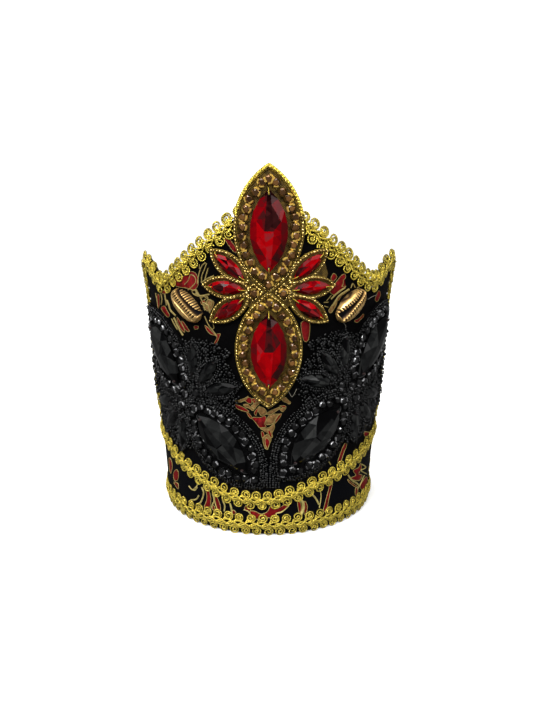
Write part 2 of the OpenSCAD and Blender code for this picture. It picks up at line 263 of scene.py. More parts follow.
edge = flowing(EDGE, 6)
edge = np.vstack([edge[:0:-1] * (-1, 1), edge])
panel = np.radians(np.arange(-PANEL_END, PANEL_END + 1.0))
behind = np.radians(np.arange(PANEL_END + 2, 360 - PANEL_END, 2.0))
columns = np.concatenate([panel, behind])
low = np.stack([on_wall(columns * wall_r(z), z) for z in np.linspace(0.8, BACK_H, 16)])
tops = np.interp(np.degrees(panel), *edge.T)
rows = [BACK_H + (tops - BACK_H) * share for share in np.linspace(0, 1, 41)[1:]]
high = np.stack([on_wall(panel * wall_r(z), z) for z in rows])
low_ids = np.arange(low[..., 0].size).reshape(low.shape[:2])
high_ids = low_ids.size + np.arange(high[..., 0].size).reshape(high.shape[:2])
wall = Work()
wall.add(np.vstack([low.reshape(-1, 3), high.reshape(-1, 3)]),
         strips(low_ids) + strips(np.vstack([low_ids[-1, :len(panel)], high_ids]), closed=False))
wall_piece = wall.piece("brocade_wall", [black_satin(), plain_cloth()], "brocade", "crown_wall")
lining = wall_piece.modifiers.new("interlining", "SOLIDIFY")
lining.thickness, lining.offset, lining.use_even_offset, lining.material_offset = WALL_T * MM, -1, True, 1
turned_edge = wall_piece.modifiers.new("turned_edge", "BEVEL")
turned_edge.width, turned_edge.segments, turned_edge.limit_method = 0.9 * MM, 3, "ANGLE"
turned_edge.angle_limit = math.radians(60)


# Brocade figures
# The woven figures of the brocade: red and tan weft floats standing a little proud of the satin,
# each drawn round with a thin gold weft. Only parts of them show between the braids and motifs.

RED_FIGURES = [  # outlines in (u, z)
    [(-10, 78.5), (-7.5, 79), (-4.5, 79), (-2.5, 80), (-1.5, 78.5), (-2, 76), (-2.5, 75), (-1.5, 73),
     (-3.5, 72.5), (-5.5, 72.5), (-7, 74.5), (-8.5, 76.5)],
    [(-14, 89.6), (-12, 91.3), (-9.9, 90.2), (-10.4, 87.4), (-12.4, 87.8)],
    [(-20.5, 86.3), (-16.8, 85.6), (-13.3, 84), (-11.7, 82.1), (-15, 82.5), (-18.7, 83.8)],
    [(-13, 82), (-11.5, 81), (-10, 79), (-10.5, 78), (-12, 79.5)],
    [(7.6, 81.2), (6.9, 79.3), (5.2, 76.9), (3.5, 75), (4, 77), (5.2, 79.3), (6.5, 80.9)],
    [(-8.5, 81.5), (-7.5, 83.5), (-6, 85.5), (-5, 86), (-6, 84), (-7, 81.5), (-7.5, 80)],
    [(-4.3, 69.9), (-3.1, 69.4), (-2.6, 66.8), (-3.7, 65.8), (-4.3, 67.9)],
    [(-0.3, 70.8), (1.6, 69.8), (2.3, 66.4), (1, 66.4), (-0.1, 68.8)],
    [(-1.2, 65.9), (0.6, 63.2), (-0.6, 59), (-1.8, 61.3), (-2.1, 64.3)],
    [(-9, 89), (-7.5, 90), (-6, 89), (-7.5, 88), (-9, 87.5)],
    [(-60, 159), (-54, 160), (-50.5, 163), (-47, 164), (-43.5, 163), (-42, 159), (-42.5, 156), (-45, 153.5),
     (-48, 153.5), (-52, 154), (-57.5, 154), (-61.5, 155)],
    [(-78.5, 138.5), (-73.5, 140.5), (-70.5, 138), (-68, 135.5), (-70.5, 134), (-75, 136)],
    [(-56.5, 133.5), (-54.5, 133), (-51.5, 130), (-50, 128), (-52.5, 128), (-55, 130.5)],
    [(-60.5, 135.5), (-58, 133.5), (-55, 130), (-54, 127), (-56.5, 128), (-59.5, 131.5)],
    [(-78.5, 150), (-71, 150), (-69, 149), (-74.5, 148)],
    [(-46, 132), (-43, 132), (-43.5, 130.5), (-46, 130)],
    [(-32, 128), (-28.5, 129), (-29, 127), (-31, 123), (-32.5, 123), (-30.5, 126.5)],
    [(-38.5, 133), (-36.5, 132), (-34, 130), (-32, 128), (-34.5, 128), (-37, 130)],
    [(36.5, 161.5), (38, 163.5), (40, 162), (40, 160.5), (38, 159), (36.5, 160)],
    [(37, 155), (39.5, 158), (41.5, 160), (43.5, 162), (46, 162.5), (46.5, 160.5), (45, 159), (45, 157),
     (44, 155.5), (47, 155.5), (46, 154.5), (43, 152.5), (39.5, 151), (37.5, 151.5), (36, 153)],
    [(41, 148.5), (43.5, 151), (46.5, 152.5), (50, 153), (48, 152), (44, 150), (42, 147.5)],
    [(76.5, 145.5), (80.5, 149), (84, 146.5), (82.5, 144), (79.5, 142.5), (76.5, 143.5)],
    [(55, 134), (59.5, 135), (63, 137), (63.5, 135.5), (60, 133.5), (57.5, 132.5)],
    [(-85, 33.5), (-80, 35), (-78, 30.5), (-82.5, 23.5), (-85.5, 25.5)],
    [(-76, 27), (-71, 31), (-68.5, 29), (-70, 24), (-75, 21), (-77.5, 23)],
    [(-77.5, 19), (-70.5, 21), (-70, 17), (-73, 17)],
    [(-42.5, 28.5), (-40, 29), (-38, 22), (-38, 19), (-39, 14.5), (-43.5, 13), (-41.5, 18), (-41, 22.5)],
    [(-35.5, 25.5), (-33, 22.5), (-31, 17), (-31.5, 13), (-33.5, 15), (-34.5, 19)],
    [(-37, 15), (-36, 16.5), (-35, 14.5), (-36.5, 13)],
    [(-22.5, 16), (-20.5, 14.5), (-21.5, 13), (-23, 13)],
    [(-14.5, 19.5), (-11.5, 21.5), (-11, 18), (-12, 16), (-14.5, 17)],
    [(46, 44), (47.5, 48.5), (51, 55), (53.5, 54), (51, 49), (48.5, 43.5)],
    [(40, 31), (42.5, 30.5), (40.5, 22.5), (38.5, 13), (36, 13), (38, 21.5), (39.5, 27)],
    [(61.5, 33.5), (68.5, 33.5), (70.5, 36), (72.5, 31), (69, 28.5), (74.5, 25.5), (71, 23), (62.5, 26.5),
     (59.5, 29), (65, 29)], [(74, 19.5), (83.5, 20.5), (90.5, 15), (86.5, 10.5), (78, 13), (73, 16.5)],
    [(66, 19.5), (69.5, 17), (67.5, 13.5), (65.5, 15.5)],
    [(-11.5, 16.5), (-8, 16.5), (-5.5, 15), (-3.5, 15), (-0.5, 17), (1.5, 21.5), (4, 18.5), (7, 19.5),
     (11, 21.5), (12.5, 20), (8, 16.5), (5, 15.5), (3, 11.5), (0, 12.5), (-3, 12), (-5.5, 11), (-8.5, 11.5),
     (-10.5, 13.5)], [(18, 23), (20, 21), (20.5, 17), (19.5, 14), (18.5, 17.5)],
    [(22.5, 22), (24.5, 18.5), (24, 14.5), (22.5, 13)], [(73.5, 57), (82.5, 53.5), (79.5, 52), (74, 54)],
    [(56, 29), (61.5, 24.5), (69, 19), (65, 20.5), (58, 26)],
    [(-9.9, 90.6), (-7, 90.1), (-8.4, 87.8), (-9.7, 88.9)],
    [(6.5, 86.4), (9.7, 86.1), (10, 84.5), (8.2, 85.2)],
    [(18.5, 136), (23.5, 136), (23.1, 126), (20.1, 125.7)],
    [(-24.9, 183.8), (-19.8, 176.6), (-17.4, 176.7), (-21.6, 183)],
    [(-41, 146.7), (-38.2, 147.9), (-37.8, 145.6), (-39.6, 145)],
    [(-81, 139.5), (-80, 146), (-83, 146), (-83.5, 138)]]
TAN_FIGURES = [  # outlines in (u, z)
    [(-20.5, 88.5), (-18, 89), (-15.5, 90), (-13.5, 91), (-12, 92), (-13.5, 89.5), (-15.5, 88.5),
     (-16.5, 88), (-18.5, 88)],
    [(-15, 86.5), (-12.5, 87), (-11, 85.5), (-9.5, 85), (-8.5, 84), (-9.5, 83), (-11.5, 84.5), (-13.5, 85)],
    [(-10.5, 85.5), (-8.5, 87.5), (-6, 88.5), (-5.5, 87.5), (-7, 86), (-8.5, 84)],
    [(-6.5, 84), (-4.5, 85.5), (-2.5, 84.5), (-1.5, 83), (-1.5, 81), (-3, 80.5), (-4.5, 80), (-5.5, 81.5)],
    [(-1.5, 81), (0, 82.5), (1.5, 83.5), (4, 84.5), (6.5, 85.5), (6.5, 84.5), (4.5, 83), (1.5, 81)],
    [(-1, 78), (0, 80), (2, 81), (4.5, 81), (6.5, 81), (5, 79.5), (3.5, 77), (3, 75.5), (1, 74.5),
     (-1.5, 74.5), (-1.5, 76.5)],
    [(-5, 72), (-3, 72), (0, 72.5), (1.5, 73.5), (3, 75), (3.5, 73), (3, 71), (2, 69), (2, 66.5), (1, 70),
     (0, 71), (-1.5, 71), (-3.5, 71)],
    [(-3.5, 65.5), (-2, 67.5), (-0.5, 68), (0.5, 66.5), (1.5, 65), (1, 63), (0, 61), (-0.5, 58.5), (-2, 59),
     (-3, 61.5)], [(7.5, 90.5), (9.5, 91.5), (11.5, 89.5), (13, 88), (12, 87), (10.5, 88), (8.5, 89)],
    [(6.5, 84), (9, 85), (10, 84.5), (9, 83), (8, 82.5)],
    [(-38, 143), (-36, 148.5), (-32, 147), (-34.5, 142)],
    [(35.5, 142), (38, 145.5), (41, 148), (40.5, 145), (38.5, 142), (37, 140.5)]]
GOLD_LINES = [  # radius, and line in (u, z)
    (0.4, [(-40, 158), (-39.5, 162), (-37.5, 166), (-36, 169.5)]),
    (0.4, [(-40, 158), (-36, 160.5), (-31.5, 162.5)]), (0.3, [(-41, 166), (-41, 168.5)]),
    (0.35, [(-52.5, 156), (-49.5, 158.5), (-47.5, 162), (-44.5, 161), (-44, 158), (-47, 155), (-50, 153)]),
    (0.5, [(-77.4, 147.9), (-76.3, 144.1), (-77.9, 140.9)]),
    (0.6, [(-72.2, 148), (-71.6, 144.7), (-70.6, 141.4)]),
    (0.65, [(-70.5, 144.5), (-68.5, 142.5), (-66.8, 139), (-63.7, 137.2), (-61.4, 136.1)]),
    (0.65, [(-63.5, 134.6), (-61.7, 132.4), (-60.4, 130.1), (-58.7, 128.2), (-55.7, 124.7)]),
    (0.4, [(-66.1, 133.7), (-64.2, 131.3), (-60.6, 127.6)]),
    (0.4, [(-86.1, 146.7), (-84.7, 142.9), (-83.5, 138.5)]),
    (0.4, [(-42.7, 157.3), (-41.6, 162.6), (-39.4, 167.5), (-36.6, 169.7)]),
    (0.4, [(-37.9, 159), (-35.1, 166.8)]), (0.6, [(-39.1, 146.5), (-35.8, 144.8), (-34.8, 141)]),
    (0.6, [(-44.1, 152.9), (-41.2, 150.2), (-34.5, 151.7)]),
    (0.6, [(36.8, 148.6), (41.2, 152.1), (46.4, 154.6)]),
    (0.6, [(38, 144.6), (42.4, 150.1), (49.6, 153.4)]),
    (0.35, [(-46.8, 151.8), (-45.1, 150.5), (-41.7, 149.9)]),
    (0.3, [(-44.4, 153.4), (-42.9, 150.9), (-44.8, 151.2)]),
    (0.3, [(-41, 148.9), (-38.7, 150), (-36.9, 149.1), (-38.8, 147.8)]),
    (0.45, [(-47, 152.5), (-44, 153.5), (-42.5, 151.5), (-40.5, 148.5), (-39, 145), (-38, 142)]),
    (0.35, [(-40.5, 149), (-38, 150.5), (-36, 149.5), (-37, 146), (-39, 144)]),
    (0.35, [(-35.5, 148.5), (-33.5, 147.5), (-34, 144.5)]),
    (0.35, [(-38.5, 138.5), (-36, 133.5), (-32.5, 129.5), (-30.5, 127)]),
    (0.3, [(-33, 134.5), (-32.5, 132), (-34, 131)]), (0.3, [(34, 148), (37, 151)]),
    (0.3, [(32, 147), (35, 147)]), (0.3, [(32.5, 145), (35, 144)]),
    (0.35, [(51, 154), (52.5, 156.5), (54.5, 154)]), (0.35, [(56, 153.5), (59, 154.5)]),
    (0.4, [(-57, 24), (-53.5, 22.5), (-50, 25.5), (-48, 28.5)]),
    (0.4, [(-53.5, 22.5), (-51, 23), (-48.5, 26)]),
    (0.55, [(-45, 27), (-43.5, 23.5), (-44.5, 19.5), (-46.5, 15.5), (-48, 14.5)]),
    (0.5, [(-55.5, 14.5), (-50.5, 16.5), (-47.5, 20.5)]),
    (0.5, [(-36.5, 24.5), (-35.5, 20), (-37, 16.5), (-38, 14)]), (0.4, [(-35.5, 20), (-33.5, 14.5)]),
    (0.45, [(-29.5, 21.5), (-28, 18), (-28.5, 14)]), (0.6, [(-24.5, 20.5), (-23.5, 16.5), (-23, 11)]),
    (0.4, [(-15.5, 17), (-13, 16.5), (-11.5, 14.5)]), (0.95, [(19, 24), (21.5, 21), (22, 17), (20.5, 13)]),
    (0.6, [(25, 28.5), (29.5, 23.5), (32.5, 18)]), (0.4, [(32.5, 29), (34, 23.5), (33, 15.5)]),
    (0.6, [(56, 32.5), (60.5, 27), (67.5, 22), (70.5, 19.5)]), (0.4, [(79, 23.5), (74, 20.5), (68.5, 17)]),
    (0.4, [(72, 34.5), (81.5, 28.5), (72.5, 29.5), (85, 22)]),
    (0.4, [(12.5, 20), (8, 16), (4.5, 15), (6.5, 11.5)]), (0.35, [(39, 46), (40.5, 43.5)])]
SPRIG = [[(0, 0), (3.5, 4), (3, 9), (0, 6), (-3, 9), (-3.5, 4)], [(4, 1), (10, 3), (13, 8), (8, 6)],
         [(-4, 1), (-9, -1), (-13, 2), (-9, 4)], [(-1, -2), (1, -2), (2.5, -9), (0.5, -8)]]
RED_LIFT, TAN_LIFT, SPRIG_LIFT, LINE_LIFT = 0.2, 0.12, 0.14, 0.1
OUTLINE_R = 0.17  # radius of the gold weft round each figure


def outward(u, z):
    """Direction straight out of the wall."""
    a = np.asarray(u, float) / wall_r(z)
    return np.stack([np.sin(a), -np.cos(a), -LEAN + 0 * a], -1) / math.hypot(1, LEAN)


def laid_patch(work, outline, lift, step=2.0):
    """A thin patch that follows the wall: its outline in (u, z), its face at the lift."""
    outline = np.asarray(outline, float)
    x, y = outline.T
    if (x * np.roll(y, -1) - y * np.roll(x, -1)).sum() < 0:
        outline = outline[::-1]
    bm = bmesh.new()
    bmesh.ops.triangulate(bm, faces=[bm.faces.new([bm.verts.new((u, z, 0)) for u, z in outline])])
    for cut in np.arange(math.ceil(x.min() / step + 0.01) * step, x.max(), step):
        whole = bm.verts[:] + bm.edges[:] + bm.faces[:]
        bmesh.ops.bisect_plane(bm, geom=whole, plane_co=(cut, 0, 0), plane_no=(1, 0, 0))
    bm.verts.index_update()
    flat = np.array([v.co[:2] for v in bm.verts])
    faces = [[v.index for v in f.verts][::1 if f.normal.z > 0 else -1] for f in bm.faces]
    bm.free()
    rim = {}
    for face in faces:
        for a, b in zip(face, face[1:] + face[:1]):
            if rim.pop((b, a), None) is None:
                rim[(a, b)] = True
    n = len(flat)
    faces += [[b, a, a + n, b + n] for a, b in rim]
    work.add(np.vstack([on_wall(*flat.T, lift), on_wall(*flat.T, 0.02)]), faces)


def run_of(steps):
    """How far along a line each of its points lies, from the lengths of its steps."""
    return np.concatenate([[0], np.cumsum(steps)])


def tube(work, path, up, radius, sides=6, closed=False):
    """A round strand along a path in space. Marks: length run in mm, and turn round it from 0 to 1."""
    path = np.asarray(path, float)
    ahead = np.roll(path, -1, 0) - np.roll(path, 1, 0) if closed else np.gradient(path, axis=0)
    ahead = ahead / np.linalg.norm(ahead, axis=1)[:, None]
    side = np.cross(ahead, up)
    side = side / np.linalg.norm(side, axis=1)[:, None]
    top = np.cross(side, ahead)
    turn = (np.arange(sides) / sides * 2 * math.pi)[:, None]
    rings = path[:, None] + radius * (np.cos(turn) * side[:, None] + np.sin(turn) * top[:, None])
    n = len(path)
    ids = np.arange(n * sides).reshape(n, sides)
    run = run_of(np.linalg.norm(np.diff(path, axis=0), axis=1))
    i, j = (part.ravel() for part in np.indices((n if closed else n - 1, sides)))
    far = np.append(run, run[-1] + 0.5)[i + 1]
    corners = ((run[i], j / sides), (run[i], (j + 1) / sides), (far, (j + 1) / sides), (far, j / sides))
    marks = np.stack([np.stack(corner, 1) for corner in corners], 1).reshape(-1, 2)
    work.add(rings, strips(np.vstack([ids, ids[:1]]) if closed else ids), marks)


def wall_strand(work, line, lift, radius, sides=6, closed=False):
    """A round strand laid on the wall along a line in (u, z)."""
    u, z = np.asarray(line, float).T
    tube(work, on_wall(u, z, lift), outward(u, z), radius, sides, closed)


def weft(name, deep, light, fixed, high=None):
    """Weft floats between two shades; high is the shade that the light one fades to far up the wall."""
    made, dye = finish(name, **fixed)
    u, z = dye.round_wall()
    floats = ((z * 0.9 + u * 0.5) / 0.5).wave()
    worn = dye.speckle(1.8, 3)
    light = z.over(62, 8).between(light, high or light)
    return apply(made, (floats * 0.5 + worn * 1.3 - 0.35).between(deep, light), worn * 0.3 + 0.4, floats, 0.1)


red_weft = weft("red_weft", (0.035, 0.001, 0.002), (0.28, 0.007, 0.008), {"Specular_IOR_Level": 0.1})
tan_weft = weft("tan_weft", (0.035, 0.015, 0.005), (0.36, 0.20, 0.068), {"Specular_IOR_Level": 0.1})
gold_weft = weft("gold_weft", (0.13, 0.09, 0.016), (0.84, 0.70, 0.22), {"Metallic": 0.2}, (0.42, 0.32, 0.095))

red_work, tan_work, line_work = Work(), Work(), Work()
drift = np.random.default_rng(7)
for shapes, work, lift in ((RED_FIGURES, red_work, RED_LIFT), (TAN_FIGURES, tan_work, TAN_LIFT)):
    for shape in shapes:
        round_shape = flowing(shape, 4, closed=True)
        laid_patch(work, round_shape, lift)
        wall_strand(line_work, round_shape, lift, OUTLINE_R, 5, closed=True)
for radius, line in GOLD_LINES:
    wall_strand(line_work, flowing(line, 6), LINE_LIFT, radius)
sprigs = [(u, 22, 0, 1) for u in np.arange(104, 340, 27.0)]
sprigs += [(u, 36, math.pi, 1) for u in np.arange(117.5, 354, 27.0)]
sprigs += [(side * 91, 72, 0.2, 0.62) for side in (-1, 1)]
for across, up, way, size in sprigs:
    squeeze = 0.6 if size == 1 else 1  # the ones on the low band are wider than high
    for k, shape in enumerate(SPRIG):
        turn = drift.uniform(-0.3, 0.3) + way
        x, y = size * np.array(flowing(shape, 4, closed=True)).T
        u = across + x * math.cos(turn) - y * math.sin(turn)
        z = up + (x * math.sin(turn) + y * math.cos(turn)) * squeeze
        laid_patch((red_work, tan_work)[k % 2], np.stack([u, z], 1), SPRIG_LIFT)
        wall_strand(line_work, np.stack([u, z], 1), SPRIG_LIFT, OUTLINE_R, 5, closed=True)
red_work.piece("brocade_red_figures", red_weft, "brocade")
tan_work.piece("brocade_tan_figures", tan_weft, "brocade")
line_work.piece("brocade_gold_lines", gold_weft, "brocade")


# Motif grounds
# Each motif is worked on its own ground of stiff net and thread, then sewn to the wall: two
# marquises tip to tip, three petals on each side and a small loop beside the crossing.

PLACES = {"front": (0, 154, 0), "right": (50.8, 90.5, -42.5), "left": (-50.8, 85.5, 42.5)}  # u, z, turn
SKEW = {"front": 0, "right": -6, "left": 6}  # further turn of the petals
MARQUISE, PETAL = (34.3, 18.8), (14.4, 6.3)  # half length and half width of the frames
PETAL_SEATS = [(21.8, 14.2, 39), (24.0, 2.3, 3.5), (22.4, -10.1, -33.5)]  # across, along, turn
SIDE_LOOP = [(3.2, 0), (8.4, -5.2), (12.4, 0), (8.4, 5.2)]
LOOP_X = 7.8  # middle of each side loop
HALF_CROSSING = [(0, 13), (8, 14.5), (15, 7.5), (17, 1), (15.5, -5.5), (8, -10), (0, -13)]
NET_CORNER = [(24, 163), (28.5, 170.5), (32, 170), (34, 163.5), (32.5, 160)]
SHORTER = 0.7  # how much shorter each half of the side motifs' petals is
# How far each layer of net lies off the wall.
GROUND_LIFT = {"marquise": 1.12, "petal": 1.03, "loop": 0.94, "crossing": 0.85, "corner": 0.76}
BEAD_SLOT = {True: "gold_beads", False: "black_beads"}  # for the front motif, and for the side ones


def turned(points, degrees):
    c, s = math.cos(math.radians(degrees)), math.sin(math.radians(degrees))
    x, y = np.asarray(points, float).T
    return np.stack([x * c - y * s, x * s + y * c], 1)


def oval(half_length, half_width, inset=0.0, n=16):
    """Pointed oval drawn in by inset, n points to a side, long way upright."""
    r = (half_length ** 2 + half_width ** 2) / (2 * half_width)
    b = half_width - inset
    f = math.asin(math.sqrt((r - inset) ** 2 - (r - half_width) ** 2) / (r - inset))
    t = -f + 2 * f * np.arange(n) / n
    right = np.stack([(r - inset) * np.cos(t) - (r - inset) + b, (r - inset) * np.sin(t)], 1)
    return np.vstack([right, -right])


def marquise(side, inset, n=20):
    return oval(*MARQUISE, inset, n) + (0, side * MARQUISE[0])


def petal(place, side, k, inset, n=12, short=0.0):
    across, along, turn = PETAL_SEATS[k]
    shape = turned(oval(PETAL[0] - short, PETAL[1], inset, n), side * (turn - 90)) + (side * across, along)
    return turned(shape, SKEW[place])


def loop(side, share):
    return np.array([(side * (LOOP_X + (x - LOOP_X) * share), y * share) for x, y in SIDE_LOOP])[::side]


def at_place(place, points):
    """From a motif's own axes, across and along, to (u, z) on the wall."""
    return turned(points, PLACES[place][2]) + PLACES[place][:2]


def net(name, ground, thread, fixed):
    """Stiff net of thread over a darker ground, its knots standing out."""
    made, dye = finish(name, **fixed)
    u, z = dye.round_wall()
    mesh = (1 - ((u + z) / 1.3).wave() * ((u - z) / 1.3).wave()).over(0.5, 0.25)
    knots = dye.speckle(2.0, 3)
    colour = (mesh * 0.5 + knots * 1.6 - 0.75).between(ground, thread)
    return apply(made, colour, knots * 0.3 + 0.35, mesh + knots, 0.2)


gold_net = net("olive_gold_net", (0.008, 0.0045, 0.0008), (0.25, 0.15, 0.017), {"Metallic": 0.4})
black_net = net("black_net", (0.0006, 0.0006, 0.0007), (0.006, 0.006, 0.0065), {"Specular_IOR_Level": 0.08})

crossing = HALF_CROSSING + [(-x, z) for x, z in HALF_CROSSING[-2:0:-1]]
for place in PLACES:
    gold = place == "front"
    ground = Work()
    for side in (-1, 1):
        laid_patch(ground, at_place(place, marquise(side, -0.4)), GROUND_LIFT["marquise"])
        laid_patch(ground, at_place(place, loop(side, 1.05)), GROUND_LIFT["loop"])
        for k in range(3):
            outline = petal(place, side, k, -0.2, short=0 if gold else SHORTER)
            laid_patch(ground, at_place(place, outline), GROUND_LIFT["petal"])
    laid_patch(ground, at_place(place, crossing), GROUND_LIFT["crossing"])
    if gold:
        laid_patch(ground, NET_CORNER, GROUND_LIFT["corner"])
    ground.piece(place + "_net_ground", gold_net if gold else black_net, BEAD_SLOT[gold],
                 place + "_backing", smooth=False)


# Scroll braid
# Gimp braid of yellow gold thread sewn on in four runs: round the hem, along the jewelled band
# and round the points of each side. Each loop of the edges is a thin cord curled twice round,
# and its tail crosses the middle, over three wavy cords that hold the loops together.

LOOP = 7.2  # one loop of the edge
HEM = [(a, 7.5) for a in (-180, -60, 60, 180)]  # angle from the front, height of the middle line
BAND = [(-180, 51.4), (-130, 51.4), (-95, 51.4), (-78, 50.8), (-66, 48), (-57, 44.2), (-50, 40.8),
        (-41, 36.8), (-30, 31.2), (-22, 27.2), (-15, 25.2), (-8, 24.2), (0, 24.4), (8, 26.6), (15, 29.2),
        (22, 32.1), (30, 35), (41, 39.3), (50, 42.6), (57, 45.2), (66, 48.4), (78, 51), (95, 51.4),
        (130, 51.4), (180, 51.4)]
POINTS = [(8, 196.5), (12, 192.4), (22, 182.1), (32, 171.8), (42, 161.6), (47, 157.2), (50.5, 154.7),
          (54, 153.9), (57.5, 155.3), (62, 159.8), (66, 163.2), (70, 164.8), (74, 164.2), (77.5, 161.2),
          (79.8, 156.2), (81, 149), (81.6, 138), (81.8, 110), (81.8, 84), (81.8, 58.2)]
# Points of each loop's tail: along the braid, across it, and up from the wall.
TAIL = np.array([(-8.6, -1.2, 1.0), (-6.8, -0.7, 1.9), (-5, 0.1, 2.15), (-3.5, 1.2, 1.7)])
LOOP_CORD, EDGE_CORD, WAVY_CORD = 0.46, 0.55, 0.48  # radius of each cord
EDGE_OUT = 0.9  # how much further out the loops over the wall's edge stand


def within(place, points, grow=0.0):
    """True for points of the wall that lie inside the frames of a motif, grown by so much."""
    flat = turned(np.asarray(points, float) - PLACES[place][:2], -PLACES[place][2])

    def inside(at, a, b):
        r = (a * a + b * b) / (2 * b)
        return np.hypot(abs(at[:, 0]) + r - b, at[:, 1]) < r + grow

    found = inside(flat - (0, MARQUISE[0]), *MARQUISE) | inside(flat + (0, MARQUISE[0]), *MARQUISE)
    flat = turned(flat, -SKEW[place])
    for side in (-1, 1):
        for across, along, turn in PETAL_SEATS:
            found |= inside(turned(flat - (side * across, along), -side * (turn - 90)), *PETAL)
    return found


def gold_cord():
    """Twisted gold cord with painted light and shade: a painted highlight on its outer side, painted shade
    where it lies against the next cord and where it lies low by the cloth.
    """
    made, dye = finish("gold_braid_cord", Metallic=0.65, Specular_IOR_Level=0.3)
    run, turn = dye.marks()
    ply = (run / 1.1 + turn * 2).wave()
    # painted highlight and painted shade: the outward side of each cord is coloured lighter, its sides and
    # underside darker
    top = turn.wave() ** 1.6
    worn = dye.speckle(2.4, 4)
    # painted shade: cords that lie low by the cloth are coloured darker
    low = dye.lift() - 0.35
    clear_of_painted_shade = low.reckon("ABSOLUTE", low).over(0.35, 0.4)
    # the cord's tone: real ply and wear, with the painted highlight and painted shade on top
    light = (top * 0.9 + ply * 0.5 + worn * 0.9 - 0.6) * (clear_of_painted_shade * 0.8 + 0.2)
    colour = light.between((0.035, 0.020, 0.0015), (1.0, 0.79, 0.112))
    return apply(made, colour, worn * 0.25 + 0.15, ply, 0.25)


def gimp(name, line, closed, reach, node):
    """One run of the braid, its loops standing this far out from the middle line."""
    line = flowing(line, 8)
    arc, height = np.radians(line[:, 0]), line[:, 1]
    run = run_of(np.hypot(np.diff(arc) * wall_r((height[1:] + height[:-1]) / 2), np.diff(height)))
    loops = round(run[-1] / LOOP)
    pitch = run[-1] / loops
    work = Work()

    def on_run(s):
        return s % run[-1] if closed else np.clip(s, 0, run[-1])

    def lay(along, across, lift, radius, joined=False):
        """Lays a cord at distances along and across the braid, leaving out what the front motif covers."""
        along = on_run(along)
        before, after = on_run(along - 2.5), on_run(along + 2.5)
        a, z = np.interp(along, run, arc), np.interp(along, run, height)
        da = np.interp(after, run, arc) - np.interp(before, run, arc)
        da = ((da + math.pi) % (2 * math.pi) - math.pi) * wall_r(z)
        dz = np.interp(after, run, height) - np.interp(before, run, height)
        size = np.hypot(da, dz)
        z2 = z + da / size * across
        u2 = (a - dz / size * across / wall_r(z)) * wall_r(z2)
        path, up = on_wall(u2, z2, lift), outward(u2, z2)
        clear = ~within("front", np.stack([u2, z2], 1), 0.6)
        if clear.all():
            tube(work, path, up, radius, closed=joined)
            return
        for part in np.split(np.arange(len(clear)), np.flatnonzero(np.diff(clear.astype(int))) + 1):
            if clear[part[0]] and len(part) > 2:
                tube(work, path[part], up[part], radius)

    curl = np.linspace(0, 1, 34)
    centre = reach - 3  # of a loop, from the middle line
    over = 0 if closed else np.sign(line[-1, 0])  # the side whose loops stand over the edge of the wall
    for k in range(2 * loops - (0 if closed else 1)):
        side = 1 if k % 2 else -1
        middle = (k + 1) * pitch / 2 + drift.normal(0, 0.16)
        angle = math.radians(-150 + drift.normal(0, 14)) + curl * math.radians(820 + drift.normal(0, 90))
        wide = 1 + drift.normal(0, 0.05)
        inner = drift.uniform(0.75, 1.1)
        if side == over:  # wound closer and leaning in, as the cloth doesn't show behind
            thick, out, lean = EDGE_CORD, EDGE_OUT, 0.35
            angle = angle + curl * 2.4
            radius = np.interp(curl, [0, 0.32, 0.42, 0.68, 0.78, 1], [2.8, 2.8, 1.8, 1.75, 0.85, 0.3]) * wide
        else:
            thick, out, lean = LOOP_CORD, 0, 0
            winding = [2.65, 2.6, 1.5 * inner, 1.35 * inner, 0.6, 0.45]
            radius = np.interp(curl, [0, 0.42, 0.54, 0.78, 0.9, 1], winding) * wide
        x = np.concatenate([TAIL[:, 0], radius * np.cos(angle)])
        y = np.concatenate([TAIL[:, 1] - centre, radius * np.sin(angle)]) + out
        lift = np.concatenate([TAIL[:, 2], np.interp(curl, [0, 0.4, 0.55, 1], [0.9, 0.62, 0.95, 0.8])])
        lift = lift - lean * np.clip(centre + y - 3, 0, 9)
        lay(middle + x, side * (centre + y), lift + drift.normal(0, 0.08), thick)
    t = np.linspace(0, 2 * math.pi * loops, loops * 14 + 1)[:-1 if closed else None]
    for strand in (-1, 0, 1):
        across = strand * 1.45 + 0.75 * np.sin(t + strand * 2.2)
        lay(run[-1] * t / (2 * math.pi * loops), across, 1.1 + 0.4 * np.cos(t + strand), WAVY_CORD, closed)
    work.piece(name, painted_light_braid_cord, "gold_braid", node)


painted_light_braid_cord = gold_cord()
gimp("hem_scroll_braid", HEM, True, 7.3, "hem_braid")
gimp("band_scroll_braid", BAND, True, 6.4, "band_braid")
for side, word in ((-1, "left"), (1, "right")):
    uneven = [1.2 if (a < 50) == (side < 0) and 8 < a < 80 else 0 for a, _ in POINTS]  # sewn on by hand
    line = np.array([(side * a, z + up) for (a, z), up in zip(POINTS, uneven)])
    gimp(word + "_point_scroll_braid", line, False, 6.2, word + "_point_braid")


# Beaded outlines
# Seed beads strung on thread and couched round every frame: one line of long pale gold beads
# between gold threads on the front motif, rows of round jet-black beads on the side motifs.

GOLD_PITCH, BLACK_PITCH, FIELD_PITCH, STRIP_PITCH = 1.85, 1.55, 1.65, 1.6  # mm from bead to bead
ROW_JITTER, FIELD_JITTER = 0.19, 0.3  # unevenness of the black beads
COUCH_R = 0.28  # radius of the couched threads
MARQUISE_ROWS = ((-1.6, 1.2), (-0.1, 1.9), (1.4, 2.4))  # inset and lift of each row of black beads
PETAL_ROWS = ((0.3, 1.8), (1.7, 1.9))
OUTER_ROW_TOP = 112  # the outermost row stops at this height
FIELD, FIELD_UP = (38, 29), 1.3  # half axes of the field of beads, and how far past them it goes above
STRIP_ENDS = {"left": (80, 138), "right": (71, 136)}  # heights of the beads beside the edge braid


